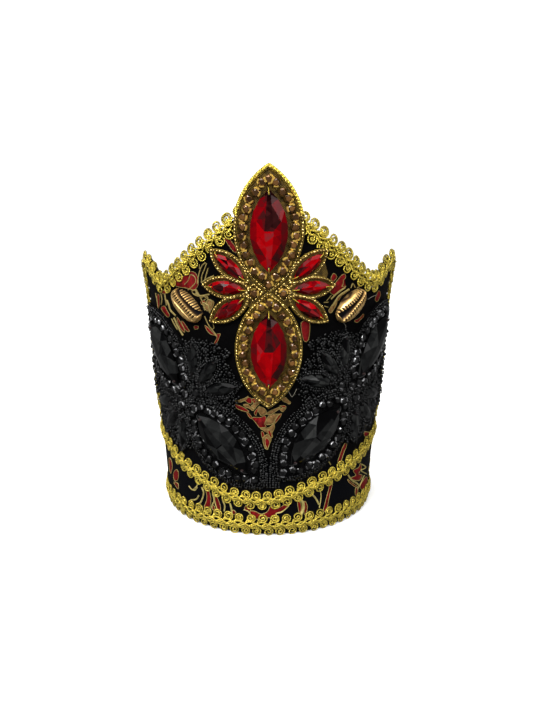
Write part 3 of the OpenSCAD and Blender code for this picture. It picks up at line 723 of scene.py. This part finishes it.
def ring_form(rings, sides):
    """A turned form: rings of (height along, radius). Its long axis is the first axis."""
    turn = np.arange(sides) / sides * 2 * math.pi
    points = [(x, r * math.cos(t), r * math.sin(t)) for x, r in rings for t in turn]
    return points, strips(np.arange(len(points)).reshape(-1, sides))


def evenly(line, pitch):
    """Spots at an even pitch along a closed line in (u, z), with the line's direction at each."""
    line = np.vstack([line, line[:1]])
    run = run_of(np.hypot(*np.diff(line, axis=0).T))
    n = max(2, round(run[-1] / pitch))
    s = (np.arange(n) + 0.5) * run[-1] / n
    before, spots, after = (np.stack([np.interp(at, run, part) for part in line.T], 1)
                            for at in (s - 0.3, s, s + 0.3))
    return spots, after - before


def set_beads(work, spots, ahead, lift, form, jitter):
    """Sets a bead on each spot, lying along the direction given for it, none quite like the next."""
    points, faces = form
    points = np.asarray(points)
    for (u, z), (du, dz) in zip(spots + drift.normal(0, jitter, np.shape(spots)), ahead):
        up = outward(u, z)
        here = on_wall(u, z, lift + drift.normal(0, jitter))
        way = on_wall(u + du, z + dz, lift) - on_wall(u, z, lift)
        way = way / np.linalg.norm(way) + drift.normal(0, jitter, 3)
        way = way - up * (way @ up)
        way = way / np.linalg.norm(way)
        side = np.cross(up, way)
        shade = drift.random()
        size = 1 + drift.normal(0, jitter)
        work.add(here + size * (points[:, :1] * way + points[:, 1:2] * side + points[:, 2:] * up), faces,
                 [(shade, 0.5)] * (4 * len(faces)))


def beads(name, deep, light, fixed, rare=2):
    """Finish of beads, each at its own shade; the light ones are the rarer, the higher rare is."""
    made, dye = finish(name, **fixed)
    shade, _ = dye.marks()
    worn = dye.speckle(0.9)
    return apply(made, (shade ** rare * 0.8 + worn * 0.3).between(deep, light), worn * 0.2 + 0.12, worn, 0.05)


def thread(name, deep, light, fixed):
    """Finish of twisted thread."""
    made, dye = finish(name, **fixed)
    run, turn = dye.marks()
    ply = (run / 0.8 + turn).wave()
    return apply(made, ply.between(deep, light), ply * 0.2 + 0.35, ply, 0.08)


def own_side(place, spots, clear):
    """True for spots on this motif's side of the crown that lie so far clear of the front motif."""
    return (np.sign(spots[:, 0]) == np.sign(PLACES[place][0])) & ~within("front", spots, clear)


def gold_lines(work):
    """One line of long beads round each frame of the front motif, between two couched threads."""
    frames = [(marquise(side, 0.6, 40), marquise(side, 1.5, 60), marquise(side, -0.25, 60))
              for side in (-1, 1)]
    frames += [[petal("front", side, k, inset, 30) for inset in (0.5, 1.2, -0.15)]
               for side in (-1, 1) for k in range(3)]
    couching = Work()
    for beaded, inner, outer in frames:
        set_beads(work, *evenly(at_place("front", beaded), GOLD_PITCH), 1.95, LONG_BEAD, 0.05)
        wall_strand(couching, at_place("front", inner), 1.5, COUCH_R, 5, closed=True)
        wall_strand(couching, at_place("front", outer), 1.35, COUCH_R, 5, closed=True)
    for side in (-1, 1):
        set_beads(work, *evenly(at_place("front", loop(side, 0.95)), GOLD_PITCH), 2.0, LONG_BEAD, 0.05)
    couching.piece("front_couching_threads", olive_thread, "gold_beads")


def black_rows(work, place):
    """Rows of round beads along the frames of a side motif."""
    rows = [(marquise(side, inset, 40), lift) for side in (-1, 1) for inset, lift in MARQUISE_ROWS]
    rows += [(petal(place, side, k, inset, 30, SHORTER), lift) for side in (-1, 1) for k in range(3)
             for inset, lift in PETAL_ROWS]
    rows += [(loop(side, 0.95), 1.9) for side in (-1, 1)]
    for row, lift in rows:
        spots, ahead = evenly(at_place(place, row), BLACK_PITCH)
        outermost = lift == MARQUISE_ROWS[0][1]
        ours = (abs(spots[:, 0]) > 0.9) & (spots[:, 1] < (OUTER_ROW_TOP if outermost else 999))
        ours &= own_side(place, spots, 1.5 if outermost else 0.9)
        set_beads(work, spots[ours], ahead[ours], lift, ROUND_BEAD, ROW_JITTER)


def black_fields(work, place):
    """Beads between the petals of a side motif, round its foot and beside the edge braid."""
    field = [(x, y) for x in np.arange(-43, 44, FIELD_PITCH) for y in np.arange(-29, 34, FIELD_PITCH)
             if (x / FIELD[0]) ** 2 + (y / FIELD[1]) ** 2 < (1 if y < 0 else FIELD_UP)]
    spots = at_place(place, turned(field, SKEW[place]))
    spots = spots[~within(place, spots, 0.6) & ~within("front", spots, 1.5)]
    set_beads(work, spots, drift.normal(0, 1, spots.shape), 1.3, ROUND_BEAD, FIELD_JITTER)
    for inset in (-3.2, -4.8):
        spots, ahead = evenly(at_place(place, marquise(-1, inset, 40)), BLACK_PITCH)
        ours = (abs(spots[:, 0]) > 1.5 + 0.75 * np.clip(spots[:, 1] - 50, 0, 99)) & (abs(spots[:, 0]) < 36)
        ours &= own_side(place, spots, 1.5) & (spots[:, 1] > 45) & ~within(place, spots, 0.6)
        set_beads(work, spots[ours], ahead[ours], 1.1, ROUND_BEAD, ROW_JITTER)
    strip = [(math.radians(a) * wall_r(z), z) for a in (70.5, 71.9, 73.3, 74.7, 76.1)
             for z in np.arange(*STRIP_ENDS[place], STRIP_PITCH)]
    strip = np.array(strip) * (np.sign(PLACES[place][0]), 1)
    strip = strip[~within(place, strip, 1.5)]
    set_beads(work, strip, 0 * strip + (0, 0.6), 1.2, ROUND_BEAD, 0.25)
    set_beads(work, strip[::2], 0 * strip[::2] + (0.6, 0), 2.4, ROUND_BEAD, FIELD_JITTER)
    foot = np.array([(u, z) for u in (0.95, 2.6, 4.3, 6.0) for z in np.arange(33.8, 54, 1.5)])
    foot = foot[foot[:, 1] < 50 + foot[:, 0] * 1.5] * (np.sign(PLACES[place][0]), 1)
    foot = foot[~within(place, foot, 2.2)]
    set_beads(work, foot, 0 * foot + (0, 0.6), 1.2, ROUND_BEAD, 0.1)


gold_beads = beads("gold_beads", (0.16, 0.09, 0.012), (1.0, 0.75, 0.23),
                   {"Metallic": 0.9, "Coat_Weight": 0.3, "Coat_Roughness": 0.1})
black_beads = beads("black_beads", (0.0003, 0.0003, 0.0004), (0.012, 0.012, 0.0125),
                    {"Specular_IOR_Level": 0.33}, 7)
olive_thread = thread("olive_gold_thread", (0.05, 0.03, 0.003), (0.50, 0.34, 0.04), {"Metallic": 0.5})
LONG_BEAD = ring_form([(-0.86, 0.3), (-0.6, 0.7), (0.6, 0.7), (0.86, 0.3)], 6)
ROUND_BEAD = ring_form([(-0.62, 0.3), (-0.42, 0.68), (0, 0.82), (0.42, 0.68), (0.62, 0.3)], 7)

for place in PLACES:
    work = Work()
    gold = place == "front"
    if gold:
        gold_lines(work)
    else:
        black_rows(work, place)
        black_fields(work, place)
    work.piece(place + "_bead_lines", gold_beads if gold else black_beads, BEAD_SLOT[gold])


# Rhinestones
# A single row of claw-set rhinestones round each large stone, and one in each side loop:
# champagne stones in gold cups on the front motif, black stones in black cups on the side motifs.

RING = (28.3, 14.3)  # half length and half width of the row
MIDDLE = 33.8  # from the crossing to the middle of each row and of the large stone in it
SEAT = 1.22  # height of the ground under the stones
STONE_RINGS = [(2.5, 0.7, 0), (2.5, 1.15, 0), (2.05, 1.9, 0.5), (1.3, 2.35, 0)]  # radius, height, turn
CUP = [(2.2, 0), (2.5, 1.0), (2.25, 1.3)]  # radius and height of the cup's rings
# Half angle of each claw and the points of its section, for the gold cups and for the black ones.
CLAWS = {True: (0.62, ((2.8, 0.9), (2.85, 2.05), (2.45, 2.6), (1.85, 2.6), (2.2, 1.5))),
         False: (0.5, ((2.65, 1.4), (2.7, 2.15), (2.45, 2.55), (2.15, 2.55), (2.35, 1.9)))}


def seated(u, z, turn, lift=SEAT):
    """Turns and shifts points from a stone's own axes to its seat at a spot of the wall."""
    r, tilt, spin = float(wall_r(z)), math.radians(90) + math.atan(LEAN), math.radians(turn)
    yaw = u / r

    def rotation(axis, angle):
        c, s = math.cos(angle), math.sin(angle)
        if axis == "x":
            return np.array([[1, 0, 0], [0, c, -s], [0, s, c]])
        return np.array([[c, -s, 0], [s, c, 0], [0, 0, 1]])

    whole = rotation("z", yaw) @ rotation("x", tilt) @ rotation("z", spin)
    shift = rotation("z", yaw) @ np.array([0, -(r + lift), z])
    return lambda points: np.asarray(points, float) @ whole.T + shift


def seat_on(place, across, along, turn=0.0):
    return seated(*at_place(place, [(across, along)])[0], PLACES[place][2] + turn)


def cut_rhinestone():
    """Girdle, break and table rings of eight, each turned half a step from the last."""
    points = [(r * math.cos((k + s) * math.pi / 4), r * math.sin((k + s) * math.pi / 4), z)
              for r, z, s in STONE_RINGS for k in range(8)]
    faces = strips(np.arange(16).reshape(2, 8))
    for k in range(8):
        n = (k + 1) % 8
        faces += [(8 + k, 8 + n, 16 + k), (8 + n, 16 + n, 16 + k)]
        faces += [(16 + k, 16 + n, 24 + n), (16 + k, 24 + n, 24 + k)]
    return points, faces + [tuple(range(24, 32))]


def claw_cup(wide, section):
    """A thin cup with a turned lip and three curved claws bent over the stone, each at its own place."""
    turn = np.arange(12) / 12 * 2 * math.pi
    points = [(r * math.cos(t), r * math.sin(t), z) for r, z in CUP for t in turn]
    faces = strips(np.arange(36).reshape(3, 12))
    # the cup's rings take a low shade and stay dark; each claw draws its shade at random, which decides
    # whether it gets the painted glint
    shades = [0.25] * len(faces)
    for start in (0.3, 2.3, 4.4):
        start = start + drift.normal(0, 0.25)
        first, shade = len(points), drift.random()
        for t in start + np.linspace(-wide, wide, 6):
            points += [(r * math.cos(t), r * math.sin(t), z) for r, z in section]
        claw = first + np.arange(30).reshape(6, 5)
        faces += strips(claw) + [claw[0, ::-1].tolist(), claw[-1].tolist()]
        shades += [shade] * (len(faces) - len(shades))
    return points, faces, shades


def small_stones(name, deep, light, fixed):
    """Finish of small stones: the stone's own colour, with a random painted light shade on each facet that
    stands for the light and reflections it catches.
    """
    made, dye = finish(name, **fixed)
    shade, _ = dye.marks()
    colour = (shade ** 1.4 + dye.speckle(1.1) * 0.2 - 0.05).between(deep, light)
    return apply(made, colour, shade * 0.1 + 0.05)


def claws(name, deep, painted_glint, share):
    """Metal of the cups, with painted glints: this share of the claws is coloured dark, the rest get a bright
    painted highlight that stands for the light they catch.
    """
    made, dye = finish(name, Metallic=0.6)
    shade, _ = dye.marks()
    worn = dye.speckle(0.9)
    return apply(made, shade.over(share, 0.07).between(deep, painted_glint), worn * 0.2 + 0.16, worn, 0.05)


champagne = small_stones("champagne_rhinestones", (0.020, 0.008, 0.0020), (0.27, 0.120, 0.030),
                         {"Metallic": 0.35, "Coat_Weight": 0.4, "Coat_Roughness": 0.03})
black_stone = small_stones("black_rhinestones", (0.0007, 0.0007, 0.0008), (0.010, 0.010, 0.0105),
                           {"Specular_IOR_Level": 0.45})
# the bright claw colours are painted glints
gold_cups = claws("gold_claw_cups", (0.06, 0.032, 0.004), (0.80, 0.52, 0.11), 0.42)
black_cups = claws("black_claw_cups", (0.0010, 0.0010, 0.0012), (0.40, 0.40, 0.41), 0.60)

ring = oval(*RING, 0, 13) * (1 + 0.028 * np.cos(math.pi * np.arange(26)))[:, None]
for place in PLACES:
    stones, cups = Work(), Work()
    gold = place == "front"
    seats = [(x, y + side * MIDDLE) for side in (-1, 1) for x, y in ring] + [(-LOOP_X, 0), (LOOP_X, 0)]
    for x, y in seats:
        put = seat_on(place, x + drift.normal(0, 0.15), y + drift.normal(0, 0.15), drift.uniform(0, 360))
        points, faces = cut_rhinestone()
        # a random painted light shade for each facet
        stones.add(put(points), faces, [shade for f in faces for shade in [(drift.random(), 0.5)] * len(f)])
        points, faces, shades = claw_cup(*CLAWS[gold])
        cups.add(put(points), faces, [(shade, 0.5) for shade, f in zip(shades, faces) for _ in f])
    stones.piece(place + "_rhinestone_row", champagne if gold else black_stone,
                 "topaz_rhinestones" if gold else "black_rhinestones", place + "_rhinestones", smooth=False)
    cups.piece(place + "_claw_cups", gold_cups if gold else black_cups, BEAD_SLOT[gold], smooth=False)


# Cut stones
# Sew-on navettes of foiled glass, red in front and jet at the sides: a low girdle, a ridge across
# the middle, long facets falling to both tips, and a drilled hole near each tip for the thread.

LARGE, SMALL = (22.6, 10.4, 5.2), (10.9, 3.9, 3.2)  # half length, half width, height
UPPER = ((0.24, 0.02, 1.0), (0.13, 0.64, 0.78), (0.64, 0.25, 0.72), (0.10, 0.86, 0.50))  # across, along, up
# Facet shades of the cut stones are painted light and reflections: the red stones' by place, the petals' at
# random, the jets' by a fixed hash, with the left jets painted in more shade than the right.
RED_FACET_PAINTED_LIGHT = ((0.46, 0.78, 0.86, 0.56, 0.34), (0.50, 0.34, 0.10, 0.24, 0.40))  # lower, upper; left to right
PETAL_FACET_PAINTED_LIGHT, JET_FACET_PAINTED_LIGHT = (0.12, 0.25, 0.42, 0.62, 0.92), (0.86, 0.12, 0.62, 0.30)
JET_PAINTED_LIGHT_BY_SIDE = {"left": 0.84, "right": 0.97}
GLASS_SLOT = {True: "red_glass", False: "jet_glass"}


def navette(a, b, h):
    """Points and faces of the cut, with the middle of each face."""
    rim = oval(a, b, 0, 7)
    points = [(x * 0.97, y * 0.985, 0) for x, y in rim] + [(x, y, h * 0.26) for x, y in rim]
    points += [(sx * b * x, sy * a * y, h * z) for x, y, z in UPPER for sx in (-1, 1) for sy in (-1, 1)]
    bm = bmesh.new()
    for p in points:
        bm.verts.new(p)
    hull = bmesh.ops.convex_hull(bm, input=bm.verts[:])
    buried = [v for v in hull["geom_interior"] if isinstance(v, bmesh.types.BMVert)]
    bmesh.ops.delete(bm, geom=buried, context="VERTS")
    bmesh.ops.dissolve_limit(bm, angle_limit=math.radians(2), verts=bm.verts[:], edges=bm.edges[:])
    bmesh.ops.recalc_face_normals(bm, faces=bm.faces[:])
    bm.verts.index_update()
    points = [tuple(v.co) for v in bm.verts]
    faces = [[v.index for v in f.verts] for f in bm.faces]
    middles = [tuple(f.calc_center_median()) for f in bm.faces]
    bm.free()
    return points, faces, middles


def glass(name, stops, fixed):
    """Cut glass: the glass's own colour, with a painted light shade for each facet, broken up by painted
    reflections of the facets behind.
    """
    made, dye = finish(name, **fixed)
    shade, across = dye.marks()
    cells = {"Vector": dye.place(), "Scale": 230.0, "Randomness": 1.0}
    # painted reflections: small cells of lighter and darker shade that stand for the facets behind
    inner = dye.apart(dye.node("TexVoronoi", {"feature": "F1"}, cells, "Color"))[0]
    tone = shade + inner * 0.2 - 0.1 + dye.speckle(3.0) * 0.16 - 0.08
    return apply(made, dye.node("ValToRGB", {"stops": stops}, {0: tone}), across * 0.06 + 0.04)


def petal_seat(place, side, k):
    across, along, turn = PETAL_SEATS[k]
    return *turned([(side * across, along)], SKEW[place])[0], side * (turn - 90) + SKEW[place]


def set_stone(name, node, place, across, along, turn, sizes):
    """Sets a stone. Each facet gets a painted shade that stands for the light and reflections its tilt gives
    it under soft light from above.
    """
    points, faces, middles = navette(*sizes)
    gold = place == "front"
    marks = []
    for face, (x, y, _) in zip(faces, middles):
        x, y = x / sizes[1], y / sizes[0]
        shade = RED_FACET_PAINTED_LIGHT[y > 0][int(np.searchsorted((-0.5, -0.2, 0.2, 0.5), x))]
        if not gold:
            shade = JET_FACET_PAINTED_LIGHT[int(abs(7 * x + 11 * y + 3)) % 4] * JET_PAINTED_LIGHT_BY_SIDE[place]
        elif sizes is SMALL:
            shade = drift.choice(PETAL_FACET_PAINTED_LIGHT)
        marks += [(shade + drift.uniform(-0.09, 0.09), drift.random())] * len(face)
    stone = Work()
    stone.add(seat_on(place, across, along, turn)(points), faces, marks)
    stone.piece(name, red_glass if gold else jet_glass, GLASS_SLOT[gold], node, smooth=False)


# stops from dark to light of the painted facet shades, over the glass's own red and black
red_glass = glass("foiled_red_glass", [(0.0, (0.008, 0.0004, 0.0008)), (1.0, (0.17, 0.020, 0.024)),
                                       (0.2, (0.032, 0.006, 0.006)), (0.42, (0.12, 0.0, 0.002)),
                                       (0.65, (0.24, 0.0, 0.0015)), (0.86, (0.38, 0.0, 0.002))],
                  {"Specular_IOR_Level": 0.08})
jet_glass = glass("jet_glass", [(0.0, (0.0006, 0.0006, 0.0007)), (1.0, (0.034, 0.035, 0.034)),
                                (0.4, (0.0014, 0.0014, 0.0016)), (0.7, (0.011, 0.0115, 0.0115))],
                  {"Specular_IOR_Level": 0.1})

for place in PLACES:
    for side, word in ((1, "upper"), (-1, "lower")):
        set_stone(f"{place}_{word}_navette", f"{place}_{word}_stone", place, 0, side * MIDDLE, 0, LARGE)
    for side in (-1, 1):
        which = ("left", "right")[side > 0]
        if place != "front":
            which = ("outer", "inner")[(side > 0) == (place == "left")]
        for k, row in enumerate(("top", "middle", "low")):
            set_stone(f"{place}_{which}_{row}_navette", f"{place}_petal_{which}_{row}", place,
                      *petal_seat(place, side, k), SMALL)


# Sewing threads
# Each cut stone is held by a few turns of thread through its two holes and over its tips:
# yellow gold thread in front, black thread on the sides. A few cut ends were left loose.

HOLE_IN = 2.76  # from the tip to the middle of the hole
HOLD = {LARGE: (0.72, 0.85, 0.26), SMALL: (0.66, 0.62, 0.2)}  # share of height, hole and thread radius
LOOSE_ENDS = [[(63.5, 151), (66, 152.4), (69, 153.5)], [(66.5, 145.5), (70, 146.8), (74.5, 147.5)],
              [(45.5, 134.5), (47, 132), (46.5, 129.5)], [(8, 93), (11, 95.5), (13.5, 92), (16, 97)],
              [(15, 104), (16.5, 110), (15.5, 116)]]
sheen = {"Specular_IOR_Level": 0.4}
gold_thread = thread("yellow_gold_thread", (0.40, 0.25, 0.014), (0.95, 0.74, 0.10), {"Metallic": 0.6})
black_thread = thread("black_thread", (0.002, 0.002, 0.0022), (0.02, 0.02, 0.021), sheen)
pale_thread = thread("pale_thread", (0.16, 0.15, 0.12), (0.42, 0.39, 0.30), sheen)
hole_dark, dye = finish("hole_shadow", Roughness=0.9)
apply(hole_dark, dye.speckle(0.5).between((0.004, 0.001, 0.001), (0.02, 0.004, 0.003)))

for place in PLACES:
    stitches, holes = Work(), Work()
    gold = place == "front"
    seats = [(0, side * MIDDLE, 0, LARGE) for side in (-1, 1)]
    seats += [(*petal_seat(place, side, k), SMALL) for side in (-1, 1) for k in range(3)]
    for across, along, turn, sizes in seats:
        put = seat_on(place, across, along, turn)
        up = put([(0, 0, 1)]) - put([(0, 0, 0)])
        a, _, h = sizes
        share, wide, thread_r = HOLD[sizes]
        hole_y, top = a - HOLE_IN, h * share
        for end in (-1, 1):
            turns = np.arange(8) / 8 * 2 * math.pi
            disc = [(wide * math.cos(t), end * hole_y + wide * math.sin(t), z)
                    for z in (0.4, top - 0.1) for t in turns]
            holes.add(put(disc), strips(np.arange(16).reshape(2, 8)) + [list(range(8, 16))])
            slant = drift.normal(0, 0.4)
            path = [(0, end * (hole_y - 0.3), top - 0.5), (slant * 0.3, end * (hole_y + 0.3), top + 0.15),
                    (slant, end * (a - 0.3), h * 0.36 + 0.4), (slant * 1.3, end * (a + 0.7), 0.2)]
            tube(stitches, put(flowing(path, 4)), up[0], thread_r, 5)
    stitches.piece(place + "_stitches", gold_thread if gold else black_thread, BEAD_SLOT[gold])
    holes.piece(place + "_stone_holes", hole_dark, GLASS_SLOT[gold])
loose = Work()
for end in LOOSE_ENDS:
    line = flowing(end, 5)
    wall_strand(loose, line, 0.5 + np.linspace(0, 1, len(line)) * 1.6, 0.13, 4)
loose.piece("loose_thread_ends", pale_thread, "gold_braid")


# Tip edging
# Bright yellow gold cord of three twisted strands, whipped over the edge of the front motif's
# ground at the very tip, where the braids of the two sides end.

TIP_FROM = 196  # height at which the edging starts
LAY, STRAND = 3.4, 0.62  # length of one twist, and distance of each strand from the cord's middle

tip = Work()
rim = at_place("front", marquise(1, 0.1, 160))
rim = np.roll(rim, -int(np.argmin(rim[:, 1])), 0)
rim = rim[rim[:, 1] > TIP_FROM]
run = run_of(np.hypot(*np.diff(rim, axis=0).T))
s = np.linspace(0, run[-1], 420)
line = np.stack([np.interp(s, run, part) for part in rim.T], 1)
way = np.gradient(line, axis=0)
way = way / np.hypot(*way.T)[:, None]
for strand in range(3):
    twist = s / LAY * 2 * math.pi + strand * 2 * math.pi / 3
    u, z = (line + np.stack([-way[:, 1], way[:, 0]], 1) * (STRAND * np.cos(twist))[:, None]).T
    tube(tip, on_wall(u, z, 1.75 + STRAND * np.sin(twist)), outward(u, z), 0.52)
# the cord takes the braid's finish, with its painted highlight and painted shade
tip.piece("front_tip_cord", painted_light_braid_cord, "gold_braid")


# Cowries
# Gilt cowrie shells glued between the motifs, slit outward: two lips rolled in to a dark slit,
# with a row of small teeth along each lip.

COWRIE = (24.6, 13.4, 6.6)  # length, width, height
FORM = np.array([(-0.5, 0.30, 0.42), (-0.44, 0.58, 0.66), (-0.32, 0.84, 0.86), (-0.16, 0.98, 0.97),
                 (0.02, 1, 1), (0.2, 0.9, 0.96), (0.34, 0.7, 0.82), (0.44, 0.46, 0.62), (0.5, 0.24, 0.4)])
SHELL_SPOT, SHELL_TURN, SHELL_LIFT = (50.6, 144.0), 51, 0.42  # u and z of its middle, degrees, mm
SLIT = {-1: (3.8, 0.85, 0.4, 1.1), 1: (-1.9, 1.0, 1.5, 0.8)}  # middle, half width, widening, inner lip
SLIT_DEPTH, TOOTH_DEPTH, GROOVE_DEPTH, TOOTH = 3.2, 0.75, 0.7, 1.7  # and mm from tooth to tooth
GILT, OLD_GILT = (1.0, 0.70, 0.27), (0.62, 0.33, 0.09)
# painted shade: colours for the gaps between the teeth and for the slit
TOOTH_SHADOW, SLIT_PAINTED_SHADE = (0.055, 0.028, 0.012), (0.012, 0.012, 0.015)


def gilt_shell():
    """Worn gilding, with painted shade: darker between the teeth and in the groove, black in the slit."""
    made, dye = finish("gilt_shell", Metallic=0.75)
    deep, _ = dye.marks()
    worn = dye.speckle(2.5, 3)
    colour = (worn * 1.2 - 0.1).between(OLD_GILT, GILT)
    colour = deep.over(0.3, 0.25).between(colour, TOOTH_SHADOW)
    colour = deep.over(0.8, 0.15).between(colour, SLIT_PAINTED_SHADE)
    roughness = worn * 0.15 + 0.21 + deep * 0.4
    metal = deep.over(0.8, 0.15) * 0.25 + 0.75
    return apply(made, colour, roughness, worn, 0.08, metal)


def cowrie(side, n=170, m=110):
    """Points and faces of a shell, n along and m across, and how deep in shadow each point lies."""
    t = np.linspace(-0.5, 0.5, n)
    w, h = (np.interp(t, FORM[:, 0], FORM[:, k]) for k in (1, 2))
    for _ in range(8):
        w[1:-1], h[1:-1] = (w[2:] + 2 * w[1:-1] + w[:-2]) / 4, (h[2:] + 2 * h[1:-1] + h[:-2]) / 4
    close = np.clip((0.5 - abs(t)) / 0.035, 0.05, 1) ** 0.5
    w, h = w * close * COWRIE[1] / 2, h * close * COWRIE[2]
    phi = np.linspace(0, math.pi, m)
    t = t[:, None]
    x = -np.cos(phi)[None] * w[:, None]
    y = t * COWRIE[0] + 0 * x
    z = np.sin(phi)[None] ** 0.8 * h[:, None]
    middle, half, widening, inner_lip = SLIT[side]
    middle = middle + side * (3 * t * t)
    half = half + widening * np.clip(-t * 1.9 + 0.1, 0, 1)
    off = abs(x - middle)
    reach = np.clip((0.46 - abs(t)) / 0.05, 0, 1)
    slit = np.exp(-(off / half) ** 6) * reach
    wide = np.where((x - middle) * side < 0, inner_lip, 1.3)
    lip = np.exp(-((off - half - wide) / wide) ** 4) * reach
    comb = (np.cos(y * 2 * math.pi / TOOTH + 0.5 * x) * 0.5 + 0.5) ** 0.8
    groove = np.exp(-((off - half - 3.3) / 0.4) ** 2) * reach * (x < middle)
    z = z - SLIT_DEPTH * slit - TOOTH_DEPTH * lip * (1 - comb) - GROOVE_DEPTH * groove
    # painted shade share: full in the slit, less between the teeth and in the groove
    deep = np.maximum(np.maximum(slit, 0.84 * lip * (1 - comb)), 0.6 * groove)
    ids = np.arange(n * m).reshape(n, m)
    faces = strips(ids, closed=False) + [ids[0, ::-1].tolist(), ids[-1].tolist()]
    return np.stack([x, y, z], -1).reshape(-1, 3), faces, deep.ravel()


shell_finish = gilt_shell()
for side, word in ((-1, "left"), (1, "right")):
    points, faces, deep = cowrie(side)
    put = seated(side * SHELL_SPOT[0], SHELL_SPOT[1], -side * SHELL_TURN, SHELL_LIFT)
    shell = Work()
    shell.add(put(points), faces, [(deep[k], 0.5) for f in faces for k in f])
    shell.piece(word + "_cowrie_shell", shell_finish, "gilt_shell", word + "_cowrie")


# Floor, light and camera
# A plain pale floor under soft studio light, seen as the photograph sees it: from a little
# above, square on to the front.

floor_mesh = bpy.data.meshes.new("floor")
floor_mesh.from_pydata([(-4, -4, 0), (4, -4, 0), (4, 4, 0), (-4, 4, 0)], [], [(0, 1, 2, 3)])
floor = placed("floor", floor_mesh)
pale, dye = finish("pale_floor", Specular_IOR_Level=0.1, Emission_Color=(1, 1, 1, 1), Emission_Strength=0.3)
apply(pale, dye.speckle(300).between((0.86, 0.86, 0.86), (0.90, 0.90, 0.90)), dye.speckle(200) * 0.1 + 0.8)
floor_mesh.materials.append(pale)
floor.visible_diffuse = floor.visible_glossy = False

backdrop_mesh = bpy.data.meshes.new("backdrop")
bm = bmesh.new()
bmesh.ops.create_uvsphere(bm, u_segments=48, v_segments=24, radius=6)
bm.to_mesh(backdrop_mesh)
bm.free()
backdrop = placed("backdrop", backdrop_mesh)
white, _ = finish("white_backdrop", Emission_Color=(1, 1, 1, 1), Emission_Strength=1.0)
backdrop_mesh.materials.append(white)
backdrop.visible_diffuse = backdrop.visible_glossy = False
backdrop.visible_transmission = backdrop.visible_shadow = False

world = bpy.data.worlds.new("studio")
world.use_nodes = True
world.node_tree.nodes["Background"].inputs["Color"].default_value = (1, 1, 1, 1)
world.node_tree.nodes["Background"].inputs["Strength"].default_value = 0.2
bpy.context.scene.world = world
bpy.context.scene.view_settings.view_transform = "Standard"

sun = bpy.data.lights.new("sky", "SUN")
sun.energy, sun.angle = 2.6, math.radians(50)
sky = placed("sky", sun)
sky.rotation_euler = (math.radians(32), 0, math.radians(-18))

# Each lamp: name, place, size and power.
LAMPS = (("key", (-0.45, -0.75, 0.85), 0.35, 6.0), ("fill", (0.7, -0.6, 0.45), 0.3, 1.6),
         ("top", (0.05, 0.1, 0.95), 0.3, 2.0), ("glint", (0.15, -0.9, 0.5), 0.06, 1.4),
         ("left_glint", (-0.8, -0.5, 0.6), 0.06, 1.2), ("right_glint", (0.8, -0.45, 0.7), 0.06, 1.2),
         ("back", (-0.4, 0.85, 0.6), 0.3, 3.0))
for name, spot, size, power in LAMPS:
    lamp = bpy.data.lights.new(name, "AREA")
    lamp.energy, lamp.size = power, size
    holder = placed(name, lamp)
    holder.location = spot
    x, y, z = np.array([0, 0, 0.1]) - spot
    holder.rotation_euler = (math.atan2(math.hypot(x, y), -z), 0, math.atan2(-x, y))

lens = bpy.data.cameras.new("camera")
lens.sensor_width, lens.lens, lens.clip_start = 36, 700 / 711 * 36, 0.01
camera = placed("camera", lens)
camera.location = (-0.0013, -0.4662, 0.2142)
camera.rotation_euler = (math.radians(76), 0, 0)
bpy.context.scene.camera = camera
